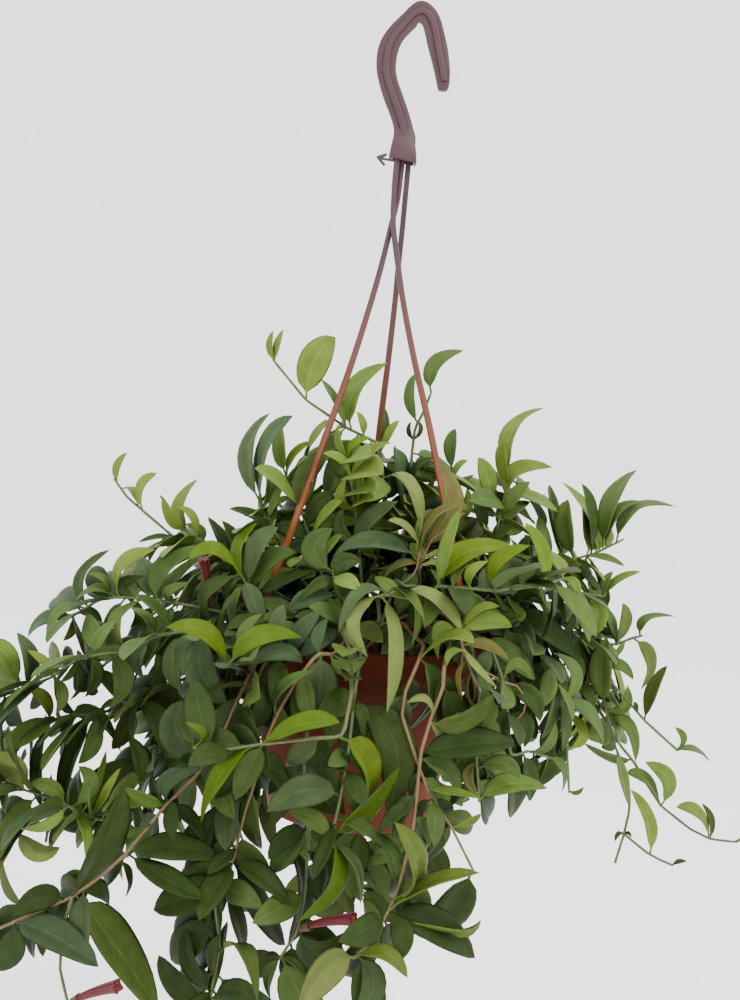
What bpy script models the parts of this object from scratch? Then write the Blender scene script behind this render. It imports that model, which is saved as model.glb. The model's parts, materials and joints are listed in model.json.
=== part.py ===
"""A lipstick plant in a hanging pot: run with blender --background --python part.py

The frame's origin is the seat inside the top of the hook, where a rail or a ceiling hook carries it.
+Z is up, +X is the right of the usual view, and the viewer looks along +Y. Sizes are in metres.
"""

import math
import random

import bmesh
import bpy
from mathutils import Matrix, Vector
from mathutils.bvhtree import BVHTree

MM = 0.001

# Pot, 170 mm over its rim
AXIS_X = -6 * MM
RIM_Z = -416 * MM
RIM_RADIUS = 85 * MM
RIM_INNER = 76 * MM
BAND_HEIGHT = 18 * MM
POT_HEIGHT = 125 * MM
BASE_RADIUS = 57 * MM
POT_WALL = 1.6 * MM
POT_SIDES = 32
DRAIN_HOLES = 6
DRAIN_RADIUS = 4 * MM
GAP = 0.3 * MM

# Soil
SOIL_DROP = 12 * MM
PIT_DEPTH = 8 * MM

# Hanger: one moulded hook and three straps
HOOK_PLATE = 6 * MM
HOOK_RIB = 9.4 * MM
HOOK_RIB_WIDTH = 4.5 * MM
STRAP_WIDTH = 3.8 * MM
STRAP_WIDENING = 2.2 * MM
STRAP_THICKNESS = 2.4 * MM
STRAP_RIDGE = 0.8 * MM
SLOT_RADIUS = 80.5 * MM
SLOT_LENGTH = 6.6 * MM
SLOT_WIDTH = 3.8 * MM
STRAP_AZIMUTHS = {"left": 150, "right": 30, "back": 270}

# Stems and leaves
STEM_FOOT_RADIUS = 1.9 * MM
STEM_TIP_RADIUS = 1.1 * MM
STEM_CLEARANCE = 0.5 * MM
LEAF_CLEARANCE = 0.35 * MM
SLOT_COUNT = 56

# The usual view of the basket: a picture 740 by 1000, which the routes of the stems are read in
VIEW_WIDTH, VIEW_HEIGHT = 740, 1000
VIEW_FOCUS = 1381.0
VIEW_EYE = Vector((-8 * MM, -950 * MM, -256 * MM))
VIEW_PITCH = math.radians(-4.1)
VIEW_ROLL = math.radians(-4.5)

# The kinds of leaf: young yellow-green, light, middle, dark, old grey-glossy, pale underside, dried
YOUNG, LIGHT, MIDDLE, DARK, GLOSSY, PALE, DRIED = range(7)
Y, L, M, D, G, P, O = YOUNG, LIGHT, MIDDLE, DARK, GLOSSY, PALE, DRIED
LEAF_COLOURS = {
    YOUNG: "8CA22C", LIGHT: "6F8A3A", MIDDLE: "4F6E2E", DARK: "33482A",
    GLOSSY: "54664A", PALE: "98A26A", DRIED: "8A7A4C",
}

# Each stem: its foot as (azimuth in degrees, radius in mm) about the pot's axis, with 0 at +X and 90 to
# the viewer; its route as (x, y, mm before the pot's axis) in the usual view; and its leaves as base,
# middle and tip of the midrib, the width that shows, and the kind, in the same picture.
STEMS = (
    # Runner arching up to the left above the mound
    ((100, 20), ((376, 560, 5), (385, 500, 6), (380, 444, 8), (347, 428, 9), (306, 400, 7), (274, 361, 5)), (
        (274, 361, 269, 346, 273, 330, 7, L), (275, 361, 277, 345, 283, 329, 7, L),
        (306, 400, 314, 362, 336, 337, 32, L), (346, 428, 337, 402, 321, 378, 9, M),
        (352, 430, 353, 390, 388, 362, 18, L), (363, 436, 363, 423, 357, 411, 8, L),
        (381, 443, 386, 425, 385, 407, 8, D), (384, 449, 390, 432, 399, 420, 9, L),
        (385, 500, 393, 487, 388, 468, 12, D), (386, 478, 414, 484, 421, 530, 7, P),
    )),
    # Shoot up to the right of the middle
    ((60, 25), ((403, 560, 0), (409, 490, 0), (412, 453, -5), (415, 428, -5), (424, 411, -5), (431, 393, -5)), (
        (431, 393, 434, 364, 464, 350, 15, M), (417, 424, 409, 398, 415, 373, 11, M),
        (413, 441, 408, 431, 411, 421, 5, D), (414, 441, 421, 431, 419, 421, 5, D),
        (411, 456, 411, 468, 406, 481, 8, D), (410, 484, 416, 466, 434, 457, 8, D),
        (409, 500, 425, 492, 436, 476, 8, L), (406, 530, 402, 470, 396, 447, 16, G),
    )),
    # Right of the strap
    ((40, 35), ((438, 580, 0), (446, 520, -5), (452, 472, -10)), (
        (452, 472, 450, 445, 455, 428, 13, M), (451, 482, 457, 466, 468, 460, 7, L),
        (450, 492, 464, 481, 474, 474, 4, D), (447, 515, 466, 510, 467, 487, 12, L),
        (442, 545, 466, 530, 478, 517, 8, M),
    )),
    # Tall shoot of the right cluster
    ((20, 45), ((470, 600, 10), (489, 560, 10), (498, 525, 10), (505, 495, 5), (511, 478, 0)), (
        (511, 478, 509, 432, 545, 407, 14, L), (507, 488, 501, 462, 503, 441, 12, L),
        (503, 499, 515, 470, 553, 467, 15, L), (500, 518, 514, 496, 530, 481, 14, M),
        (498, 530, 514, 510, 530, 501, 13, M), (493, 545, 500, 533, 512, 527, 9, M),
    )),
    ((30, 55), ((462, 600, 0), (480, 555, -5), (489, 510, -10), (490, 498, -12)), (
        (490, 503, 488, 478, 478, 457, 18, L), (485, 532, 482, 515, 473, 503, 12, M),
        (478, 562, 468, 548, 470, 530, 10, M),
    )),
    # Right shoulder
    ((10, 50), ((500, 605, 0), (530, 580, -5), (560, 563, -10), (596, 553, -15), (622, 540, -15)), (
        (566, 561, 556, 515, 551, 485, 9, D), (572, 559, 563, 525, 568, 499, 19, M),
        (594, 553, 594, 520, 562, 481, 13, L), (590, 554, 592, 515, 582, 483, 10, D),
        (604, 550, 611, 500, 637, 469, 17, M), (606, 549, 613, 515, 640, 500, 12, M),
        (614, 544, 634, 508, 676, 506, 8, M), (588, 555, 606, 557, 625, 566, 7, M),
        (588, 556, 578, 572, 558, 578, 20, M), (574, 560, 590, 578, 601, 592, 8, D),
        (550, 568, 544, 540, 540, 515, 15, M), (538, 575, 524, 552, 530, 535, 14, D),
    )),
    # Bright young shoot before the right side
    ((55, 50), ((425, 600, 70), (437, 586, 95), (462, 588, 100), (495, 591, 102), (545, 585, 95), (565, 578, 85)), (
        (438, 587, 462, 553, 514, 546, 23, Y), (495, 591, 496, 562, 530, 545, 16, Y),
        (545, 585, 543, 550, 525, 522, 15, Y), (470, 589, 470, 572, 488, 561, 11, L),
        (521, 588, 528, 570, 545, 556, 16, D), (562, 579, 575, 584, 577, 602, 10, L),
        (470, 589, 480, 605, 500, 612, 14, M),
    )),
    # Small shoot to the right
    ((5, 60), ((520, 600, 20), (545, 590, 20), (575, 592, 10), (603, 596, 0)), (
        (603, 596, 605, 582, 613, 571, 9, M), (604, 596, 618, 579, 641, 571, 8, L),
        (545, 590, 527, 592, 509, 604, 11, D), (560, 591, 560, 606, 566, 622, 10, D),
    )),
    ((350, 55), ((540, 612, 10), (565, 626, 5), (584, 642, 0), (597, 668, 0), (605, 705, 0), (616, 748, 0)), (
        (584, 642, 598, 615, 582, 597, 20, L), (604, 704, 600, 668, 607, 637, 24, M),
        (606, 708, 625, 705, 627, 685, 12, L), (598, 670, 618, 664, 634, 680, 12, M),
        (607, 712, 617, 725, 620, 746, 10, M), (608, 718, 630, 728, 636, 762, 13, M),
        (585, 643, 600, 636, 607, 640, 5, D),
        (644, 719, 652, 690, 667, 665, 13, M), (640, 713, 637, 706, 634, 702, 5, D),
        (677, 750, 684, 738, 675, 727, 7, M), (677, 751, 695, 749, 711, 762, 6, M),
        (612, 752, 621, 775, 629, 806, 10, M), (650, 854, 649, 820, 631, 789, 13, L),
        (624, 834, 618, 834, 615, 842, 5, D), (672, 865, 679, 861, 687, 861, 5, D),
        (625, 834, 629, 833, 631, 838, 4, D),
    )),
    # Long trail on the right
    ((340, 45), ((545, 640, -10), (580, 680, -20), (602, 715, -25), (620, 745, -30), (634, 762, -30),
                 (661, 806, -35), (690, 829, -35), (710, 839, -35), (735, 842, -35)), (
        (633, 761, 612, 758, 583, 743, 9, M), (661, 805, 668, 778, 645, 762, 16, L),
        (660, 805, 646, 778, 626, 773, 11, M), (709, 839, 698, 812, 676, 807, 11, L),
        (711, 839, 712, 820, 702, 803, 7, D), (602, 715, 588, 700, 582, 680, 10, D),
        (585, 688, 600, 695, 612, 700, 8, D), (735, 842, 738, 841, 742, 838, 3, M),
    )),
    # Spray at the far right
    ((0, 50), ((540, 615, -15), (575, 628, -25), (597, 643, -30), (615, 645, -30), (632, 638, -30), (641, 636, -30)), (
        (640, 637, 646, 618, 676, 616, 8, M), (615, 645, 626, 622, 623, 603, 12, M),
        (618, 644, 612, 620, 601, 604, 9, M), (617, 644, 604, 620, 590, 627, 6, D),
        (633, 638, 651, 660, 641, 690, 12, M), (626, 641, 620, 650, 612, 659, 6, M),
        (600, 644, 594, 655, 596, 672, 8, D),
    )),
    ((20, 62), ((530, 640, 60), (552, 670, 60), (562, 700, 55), (567, 725, 50), (567, 750, 50), (569, 791, 45)), (
        (567, 750, 584, 733, 564, 710, 11, L), (569, 791, 577, 793, 584, 787, 5, M),
        (562, 698, 590, 712, 604, 745, 14, M), (553, 672, 556, 705, 541, 740, 12, G),
        (563, 703, 577, 675, 556, 653, 13, M), (565, 715, 548, 740, 557, 762, 18, D),
        (545, 660, 528, 680, 520, 700, 14, D), (567, 735, 558, 745, 556, 758, 7, D),
    )),
    # Trail in the shade on the right of the pot
    ((45, 60), ((488, 640, 95), (503, 680, 105), (508, 715, 105), (510, 757, 95), (528, 751, 85), (548, 757, 75)), (
        (548, 757, 564, 768, 562, 793, 8, M), (508, 715, 526, 722, 524, 748, 16, D),
        (505, 700, 500, 730, 515, 742, 20, D), (504, 688, 530, 695, 540, 722, 20, D),
        (502, 678, 516, 662, 532, 680, 12, M), (530, 751, 548, 745, 556, 722, 10, M),
        (548, 757, 542, 770, 537, 785, 4, L),
    )),
    # Long trail before the right half of the pot
    ((80, 60), ((424, 645, 102), (418, 662, 118), (405, 692, 126), (402, 716, 132), (413, 750, 138),
                (426, 786, 142), (440, 810, 142), (452, 828, 142), (473, 870, 138)), (
        (420, 657, 435, 692, 403, 735, 12, M), (413, 757, 467, 744, 515, 742, 31, D),
        (414, 760, 446, 768, 460, 797, 20, M), (428, 788, 452, 790, 482, 798, 9, L),
        (452, 828, 470, 822, 482, 814, 8, L), (451, 827, 447, 834, 447, 843, 8, G),
        (443, 815, 440, 842, 420, 862, 14, D), (420, 657, 452, 634, 474, 643, 10, L),
        (432, 798, 418, 815, 422, 845, 9, M),
    )),
    # Woody trail that ends under the middle
    ((62, 62), ((450, 642, 104), (444, 668, 118), (443, 688, 124), (431, 718, 132), (421, 752, 138), (417, 790, 142),
                (413, 830, 148), (398, 890, 155), (388, 912, 158), (370, 943, 162), (355, 957, 164)), (
        (432, 722, 465, 722, 495, 693, 21, M), (433, 715, 425, 698, 407, 703, 8, P),
        (431, 724, 438, 730, 446, 742, 8, P), (393, 902, 420, 868, 395, 822, 15, L),
        (397, 892, 393, 855, 366, 829, 18, M), (390, 908, 430, 882, 480, 872, 13, L),
        (388, 912, 435, 925, 476, 958, 36, D), (385, 918, 402, 935, 396, 963, 24, D),
        (386, 917, 450, 935, 482, 920, 9, L), (356, 957, 386, 952, 408, 978, 17, L),
        (355, 958, 330, 968, 297, 1015, 34, P), (357, 956, 374, 985, 350, 1020, 26, G),
        (416, 800, 400, 815, 392, 838, 12, M),
    )),
    ((50, 60), ((470, 640, 108), (480, 690, 120), (476, 750, 126), (479, 800, 128)), (
        (480, 800, 508, 783, 548, 788, 21, L), (478, 760, 468, 775, 478, 797, 12, O),
        (477, 757, 494, 765, 500, 787, 14, M), (478, 770, 505, 763, 520, 780, 16, M),
        (476, 748, 452, 752, 448, 775, 10, P), (480, 700, 492, 712, 480, 730, 14, M),
        (478, 785, 460, 790, 450, 808, 12, M),
    )),
    # Part-dried shoot hanging over the rim on the right
    ((58, 45), ((458, 625, 98), (462, 645, 110), (470, 668, 116), (480, 690, 116)), (
        (463, 644, 486, 644, 510, 660, 12, O), (464, 652, 478, 668, 497, 689, 5, P),
        (462, 650, 450, 652, 447, 666, 9, L), (460, 636, 440, 628, 438, 660, 14, L),
        (460, 633, 486, 620, 513, 627, 20, L), (459, 629, 478, 608, 500, 606, 9, L),
        (472, 672, 466, 690, 474, 708, 4, O), (466, 660, 458, 675, 462, 700, 5, O),
    )),
    # Dull shoot before the middle, with the curled pale leaves
    ((82, 30), ((420, 600, 50), (419, 570, 68), (418, 545, 72), (421, 525, 72)), (
        (418, 559, 372, 540, 332, 557, 18, G), (419, 545, 405, 524, 388, 521, 6, P),
        (419, 556, 438, 552, 443, 543, 6, P), (420, 560, 430, 520, 463, 503, 3, O),
        (420, 550, 452, 508, 438, 462, 22, O), (421, 530, 418, 490, 396, 473, 8, P),
        (418, 563, 400, 563, 383, 578, 8, O), (419, 567, 440, 563, 443, 580, 6, P),
    )),
    ((95, 50), ((400, 612, 82), (402, 590, 100), (392, 588, 104), (381, 597, 106)), (
        (403, 590, 440, 597, 462, 633, 14, P), (386, 592, 358, 592, 338, 633, 13, G),
        (384, 594, 350, 618, 368, 657, 18, P), (382, 597, 399, 645, 386, 713, 12, P),
        (382, 599, 424, 603, 418, 655, 12, M), (390, 589, 408, 592, 425, 620, 9, M),
    )),
    # Woody trail from the brown knot on the rim, down the left of the pot
    ((102, 60), ((348, 638, 98), (334, 655, 108), (318, 653, 116), (300, 676, 122), (279, 710, 128), (265, 742, 132),
                 (256, 778, 135), (245, 812, 138), (233, 860, 140), (224, 892, 142)), (
        (320, 655, 320, 688, 316, 716, 36, G), (330, 657, 345, 670, 367, 657, 15, M),
        (321, 652, 318, 636, 328, 618, 14, G), (276, 716, 280, 688, 313, 670, 10, M),
        (253, 786, 249, 820, 261, 850, 21, M), (224, 892, 240, 893, 263, 909, 26, M),
        (224, 893, 240, 925, 243, 955, 16, D), (233, 862, 262, 876, 291, 904, 22, D),
        (233, 862, 258, 905, 286, 945, 26, D), (236, 850, 222, 846, 206, 862, 12, D),
        (262, 755, 275, 762, 285, 790, 14, D),
    )),
    # Green runner across the front, with bright leaves
    ((88, 64), ((350, 648, 108), (352, 692, 140), (343, 737, 156), (315, 738, 162), (290, 741, 165), (256, 745, 166),
                (225, 750, 162), (195, 748, 158)), (
        (338, 742, 370, 764, 362, 815, 22, Y), (259, 744, 302, 722, 340, 722, 20, Y),
        (252, 746, 218, 776, 200, 823, 18, Y), (196, 748, 204, 733, 185, 722, 7, Y),
    )),
    # Long woody trail to the lower left
    ((150, 62), ((262, 650, 80), (238, 700, 110), (215, 752, 128), (195, 777, 138), (165, 806, 148), (127, 853, 158),
                 (72, 897, 168), (14, 922, 172), (-45, 948, 172)), (
        (208, 762, 178, 735, 182, 700, 37, G), (168, 804, 168, 780, 203, 768, 19, G),
        (164, 808, 190, 818, 206, 845, 15, D), (166, 806, 145, 800, 125, 788, 14, L),
        (128, 853, 175, 846, 222, 858, 29, D), (127, 854, 170, 880, 205, 898, 24, D),
        (120, 860, 130, 878, 126, 898, 7, D), (72, 896, 106, 845, 124, 787, 29, D),
        (79, 893, 96, 887, 110, 905, 20, D), (68, 899, 42, 897, 13, 917, 26, D),
        (77, 896, 118, 945, 160, 1012, 40, M), (16, 922, 57, 935, 99, 967, 34, G),
        (14, 923, 12, 948, -12, 970, 30, D), (-45, 948, -65, 972, -98, 985, 22, D),
        (-45, 948, -72, 935, -106, 938, 22, M),
    )),
    # Twig to the bright pair on the left of the rim
    ((130, 60), ((300, 642, 90), (268, 660, 112), (243, 663, 124), (228, 667, 130)), (
        (228, 667, 258, 636, 302, 637, 21, Y), (227, 667, 206, 632, 166, 627, 19, Y),
        (249, 662, 278, 651, 303, 663, 20, G), (245, 663, 243, 634, 262, 613, 14, M),
        (276, 655, 276, 628, 284, 604, 20, G), (284, 652, 300, 632, 320, 610, 20, G),
    )),
    # Long twig to the left edge
    ((160, 60), ((250, 640, 55), (215, 630, 72), (178, 632, 84), (155, 636, 88), (128, 652, 90), (105, 653, 90),
                 (78, 659, 86), (50, 678, 80), (22, 688, 76), (-8, 700, 70)), (
        (188, 633, 172, 662, 182, 692, 21, G), (208, 631, 202, 672, 228, 703, 33, G),
        (152, 638, 136, 657, 144, 679, 15, G), (128, 652, 117, 636, 121, 618, 8, M),
        (153, 636, 148, 618, 130, 607, 10, M), (97, 653, 98, 638, 116, 620, 14, M),
        (90, 655, 97, 675, 85, 698, 13, D), (78, 660, 72, 673, 61, 682, 8, D),
        (76, 661, 82, 682, 70, 701, 8, D), (108, 653, 124, 678, 112, 706, 22, D),
        (52, 677, 44, 662, 28, 650, 10, L), (52, 677, 62, 695, 57, 713, 13, M),
        (27, 686, 45, 698, 50, 718, 14, L), (24, 688, 31, 660, 17, 632, 17, G),
        (18, 690, 5, 652, -22, 646, 20, L), (-8, 700, -30, 690, -50, 700, 14, L),
        (-8, 700, -22, 715, -26, 738, 14, M),
    )),
    # Upper woody twig on the left
    ((168, 55), ((258, 612, 40), (225, 613, 50), (198, 607, 55), (157, 600, 60), (118, 597, 60), (98, 600, 58),
                 (86, 608, 56), (73, 616, 52)), (
        (156, 600, 162, 568, 206, 545, 18, M), (118, 597, 121, 564, 155, 549, 12, L),
        (115, 597, 97, 587, 75, 600, 8, M), (110, 597, 105, 579, 88, 573, 7, M),
        (86, 606, 79, 576, 110, 549, 10, D), (85, 608, 60, 610, 46, 637, 10, M),
        (75, 616, 45, 618, 27, 637, 13, G), (74, 616, 73, 630, 63, 641, 9, M),
        (76, 615, 92, 613, 103, 629, 11, M), (73, 616, 79, 635, 84, 654, 3, D),
        (138, 599, 122, 585, 145, 576, 13, D), (180, 603, 168, 592, 190, 582, 10, M),
        (130, 598, 140, 612, 130, 628, 10, D), (200, 607, 190, 622, 174, 630, 12, D),
    )),
    # Bright shoot at the left of the mound
    ((140, 50), ((275, 608, 50), (252, 592, 60), (239, 572, 66)), (
        (240, 577, 236, 547, 257, 522, 12, Y), (238, 573, 213, 548, 188, 560, 14, Y),
        (240, 575, 205, 592, 212, 622, 14, D), (243, 580, 254, 602, 265, 635, 20, G),
        (240, 577, 228, 583, 225, 602, 12, D), (247, 587, 254, 548, 278, 527, 20, G),
        (258, 597, 282, 580, 311, 571, 13, D), (252, 592, 268, 560, 296, 552, 18, D),
    )),
    # Tall leaves at the upper left
    ((130, 35), ((310, 592, 20), (287, 550, 20), (267, 522, 20), (260, 503, 20)), (
        (260, 503, 246, 452, 270, 412, 15, G), (261, 504, 263, 448, 293, 415, 11, G),
        (262, 507, 272, 485, 262, 463, 12, M), (268, 523, 276, 497, 284, 483, 9, M),
        (270, 526, 250, 513, 229, 508, 10, D), (280, 540, 258, 532, 236, 532, 14, D),
    )),
    ((115, 30), ((330, 600, 26), (313, 550, 20), (303, 515, 16), (293, 492, 12), (285, 473, 8)), (
        (285, 474, 279, 450, 281, 423, 14, L), (286, 475, 293, 454, 312, 441, 8, Y),
        (303, 515, 304, 480, 320, 451, 25, M), (301, 510, 280, 481, 255, 468, 13, L),
        (300, 507, 313, 497, 326, 483, 8, L), (307, 528, 318, 505, 335, 492, 20, D),
        (310, 540, 290, 528, 272, 530, 16, D), (314, 552, 296, 548, 284, 565, 16, D),
    )),
    # Bright shoot at the middle of the mound
    ((100, 10), ((362, 585, 25), (358, 530, 30), (352, 490, 30), (347, 459, 25)), (
        (347, 459, 338, 442, 338, 425, 8, L), (348, 460, 354, 443, 370, 438, 8, Y),
        (350, 475, 340, 458, 323, 453, 9, L), (353, 500, 342, 480, 326, 469, 6, D),
        (357, 518, 362, 462, 392, 442, 15, L), (355, 512, 340, 500, 346, 478, 11, L),
        (357, 520, 362, 506, 378, 505, 10, Y), (360, 548, 366, 520, 398, 501, 18, G),
        (360, 545, 340, 530, 344, 508, 14, M),
    )),
    ((105, 45), ((347, 612, 68), (336, 590, 84), (333, 572, 90)), (
        (333, 573, 314, 550, 333, 528, 27, D), (334, 578, 343, 562, 362, 562, 20, D),
        (333, 575, 312, 562, 298, 562, 12, D), (336, 590, 322, 582, 300, 602, 14, D),
        (340, 600, 345, 612, 343, 633, 18, G), (338, 596, 308, 598, 290, 612, 20, G),
    )),
    # Large dark leaves over the front of the pot
    ((92, 66), ((362, 646, 106), (354, 700, 132), (346, 770, 150), (331, 840, 160)), (
        (333, 838, 366, 812, 400, 768, 18, Y), (343, 795, 305, 790, 267, 812, 33, G),
        (332, 838, 314, 818, 288, 812, 20, M), (330, 842, 338, 882, 298, 922, 17, Y),
        (332, 841, 356, 865, 361, 905, 8, M), (345, 768, 364, 785, 374, 818, 26, D),
        (354, 700, 352, 735, 372, 768, 30, G), (354, 698, 396, 745, 386, 812, 42, D),
        (338, 822, 325, 850, 312, 880, 16, D),
    )),
    # Long trail under the front, to the red flower
    ((112, 66), ((322, 650, 108), (312, 700, 128), (304, 770, 138), (308, 830, 144), (306, 885, 148), (298, 930, 150),
                 (281, 957, 152)), (
        (282, 956, 306, 895, 287, 842, 19, D), (283, 957, 296, 962, 306, 978, 9, M),
        (280, 957, 271, 953, 262, 958, 5, D), (299, 928, 322, 948, 350, 930, 15, D),
        (306, 885, 326, 868, 330, 840, 16, D), (308, 832, 286, 838, 268, 860, 20, D),
        (304, 775, 286, 775, 268, 795, 18, D), (305, 765, 322, 752, 330, 735, 18, D),
        (281, 958, 268, 975, 270, 1000, 12, M), (307, 850, 320, 866, 318, 905, 14, D),
    )),
    # Trail to the bottom left of the middle
    ((136, 64), ((262, 668, 98), (240, 740, 118), (228, 800, 126), (224, 860, 132), (215, 905, 138), (220, 945, 140),
                 (210, 1000, 140), (203, 1040, 138)), (
        (210, 1003, 217, 960, 227, 920, 14, L), (219, 955, 246, 950, 258, 1002, 15, M),
        (212, 990, 188, 960, 187, 927, 18, D), (214, 982, 212, 955, 219, 935, 12, D),
        (210, 1008, 178, 985, 158, 955, 24, D), (212, 1000, 242, 990, 262, 1020, 22, D),
        (232, 775, 238, 815, 222, 860, 15, M), (240, 742, 225, 722, 236, 698, 20, G),
        (244, 728, 262, 712, 262, 686, 22, D), (228, 800, 206, 830, 212, 862, 17, D),
        (203, 1040, 190, 1062, 196, 1090, 18, M), (204, 1040, 222, 1058, 224, 1088, 18, D),
        (206, 1025, 180, 1035, 165, 1060, 18, D),
    )),
    # Trail to the left, under the long twig
    ((172, 60), ((232, 655, 20), (190, 705, 42), (150, 770, 62), (122, 818, 80), (98, 820, 86), (68, 806, 88),
                 (45, 796, 88), (24, 790, 88), (-5, 778, 85)), (
        (24, 790, 12, 768, -14, 756, 27, P), (66, 805, 50, 787, 28, 785, 17, M),
        (68, 807, 45, 826, 20, 828, 12, L), (70, 807, 86, 830, 86, 857, 12, L),
        (73, 808, 92, 785, 78, 766, 18, M), (90, 818, 106, 792, 120, 768, 9, L),
        (84, 814, 97, 785, 107, 750, 7, L), (100, 820, 118, 804, 145, 806, 11, L),
        (140, 790, 142, 762, 128, 735, 18, D), (160, 752, 178, 770, 176, 800, 18, D),
        (122, 818, 132, 840, 124, 860, 14, M), (-5, 778, -30, 790, -52, 812, 18, L),
        (-5, 778, -28, 762, -56, 764, 16, M), (130, 805, 150, 800, 168, 812, 12, D),
    )),
    ((185, 58), ((232, 668, 0), (190, 745, 30), (130, 812, 60), (72, 816, 74), (45, 822, 75), (17, 828, 75),
                 (-12, 845, 75), (-45, 865, 70)), (
        (17, 829, 35, 852, 60, 847, 20, P), (-12, 845, -30, 828, -52, 832, 16, L),
        (-12, 846, -22, 868, -48, 884, 16, M), (190, 745, 168, 735, 150, 748, 18, D),
        (178, 760, 200, 775, 205, 800, 18, D), (-45, 865, -68, 872, -84, 895, 14, L),
        (-45, 865, -66, 856, -90, 862, 14, M), (105, 815, 96, 840, 104, 862, 10, M),
    )),
    # Leaves at the left, half way down
    ((176, 50), ((230, 642, 28), (182, 680, 50), (130, 702, 60), (97, 715, 66), (62, 716, 66), (20, 742, 60),
                 (-18, 760, 54)), (
        (68, 715, 98, 716, 122, 753, 15, M), (97, 715, 109, 703, 125, 701, 7, M),
        (55, 720, 26, 733, -5, 753, 22, L), (135, 700, 160, 722, 166, 760, 24, D),
        (130, 702, 126, 728, 112, 750, 20, D), (93, 716, 94, 742, 78, 764, 18, M),
        (182, 680, 165, 700, 160, 728, 20, D), (120, 706, 110, 682, 92, 672, 16, D),
        (-18, 760, -34, 748, -58, 752, 16, L), (-18, 760, -24, 780, -44, 796, 16, M),
        (150, 694, 160, 676, 156, 652, 16, D),
    )),
    # Spray at the upper left
    ((150, 30), ((290, 600, 10), (242, 577, 10), (206, 550, 10), (190, 536, 10), (172, 512, 10), (161, 497, 10)), (
        (189, 535, 177, 508, 198, 478, 13, L), (186, 531, 172, 520, 162, 496, 12, L),
        (197, 542, 194, 518, 178, 506, 9, L), (212, 555, 195, 547, 172, 560, 18, G),
        (238, 575, 226, 545, 208, 516, 14, D), (244, 578, 240, 548, 222, 520, 14, D),
    )),
    ((155, 42), ((280, 602, -10), (230, 568, -15), (200, 551, -15), (176, 539, -15), (142, 510, -15), (127, 497, -15),
                 (115, 480, -15)), (
        (138, 507, 134, 490, 120, 489, 8, L), (144, 511, 141, 486, 157, 473, 9, L),
        (117, 483, 117, 466, 127, 452, 8, L), (178, 540, 160, 536, 138, 542, 5, D),
        (195, 549, 202, 532, 184, 524, 10, M), (182, 543, 172, 556, 156, 566, 12, D),
    )),
    # Dark leaves in the shade behind the right of the rim
    ((15, 64), ((508, 612, 40), (538, 628, 48), (553, 652, 50), (566, 685, 46)), (
        (512, 614, 542, 625, 575, 657, 25, D), (510, 613, 524, 635, 531, 661, 21, G),
        (545, 638, 560, 618, 557, 596, 8, D), (548, 642, 568, 630, 574, 612, 8, D),
        (553, 652, 578, 662, 575, 692, 13, M), (556, 658, 538, 682, 546, 706, 16, D),
        (514, 616, 530, 598, 551, 592, 10, D), (566, 685, 586, 690, 594, 712, 12, D),
    )),
)

# Sprays that the pot hides: seeded, over the back and the far sides, and a few upright at the back
SEED = 11
BACK_TRAILS = 10
BACK_SHOOTS = 2

# Red flower: base and mouth in the usual view, how far before the axis, and the stem it grows beside
BLOOMS = (
    ("bloom_centre", (300, 943, 158), (352, 920, 172), 31),
    ("bloom_left", (214, 607, 50), (204, 562, 58), 24),
    ("bloom_low", (72, 1006, 184), (116, 987, 196), 21),
)

# Twigs that branch off a stem: its number in STEMS, and their course in the usual view
TWIGS = (
    (21, ((74, 896, 166), (62, 930, 172), (60, 970, 178), (68, 1004, 182))),
    (8, ((597, 668, 0), (611, 682, 0), (628, 701, 0), (644, 720, 0), (677, 750, 0))),
    (8, ((616, 748, 0), (627, 778, 0), (630, 795, 0), (629, 812, 0), (624, 834, 0), (618, 853, 0), (615, 863, 0))),
    (8, ((624, 834, 0), (646, 852, 0), (658, 859, 0), (672, 865, 0))),
)

# Hook, seen from the front: its outer and inner edges from the tip to the collar, as (x, z) in mm
HOOK_OUTER = (
    (16.8, -44.4), (22.0, -44.1), (23.2, -41.6), (23.3, -33.3), (22.4, -26.3), (20.4, -16.5), (17.3, -6.6),
    (13.9, 2.7), (10.7, 7.8), (6.9, 11.3), (2.6, 13.3), (-1.6, 13.2), (-5.6, 10.7), (-11.8, 3.8),
    (-20.3, -6.0), (-25.1, -14.7), (-26.9, -23.6), (-26.5, -33.1), (-24.1, -42.1), (-19.7, -53.2),
    (-15.1, -62.7), (-12.1, -70.2), (-11.0, -77.9), (-11.0, -85.4),
)
HOOK_INNER = (
    (15.7, -42.9), (11.9, -30.1), (6.7, -15.3), (3.6, -5.3), (1.9, -1.4), (0.2, 0.0), (-0.9, -0.6),
    (-1.9, -3.1), (-6.2, -7.9), (-10.4, -13.6), (-12.9, -21.4), (-13.4, -31.5), (-11.7, -39.3),
    (-7.2, -49.6), (-1.9, -61.7), (1.6, -71.4), (3.5, -76.8), (3.9, -84.0),
)
HOOK_SPINE = (
    (20.0, -38.5), (17.3, -28.2), (13.8, -15.9), (10.2, -2.5), (6.2, 4.6), (1.2, 7.4), (-4.0, 4.6),
    (-9.4, -2.0), (-15.4, -9.8), (-19.0, -18.1), (-20.0, -32.3), (-17.9, -40.7), (-13.5, -51.4),
    (-8.5, -62.3), (-5.4, -71.0), (-3.9, -78.3), (-3.7, -85.5),
)
# Collar, open below: its rings as (z, middle, width, depth) in mm, its slant, and the room inside it
COLLAR_RINGS = ((-70.0, -5.3, 12.6, 5.8), (-78.0, -4.2, 14.4, 10.0), (-85.0, -4.0, 17.0, 15.0),
                (-93.3, -4.0, 19.2, 15.8))
COLLAR_SLANT = 0.155
COLLAR_ROOM = {"x": (-10.5, 3.1), "y": (-6.3, 6.3), "z": (-100.0, -87.0)}
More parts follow.
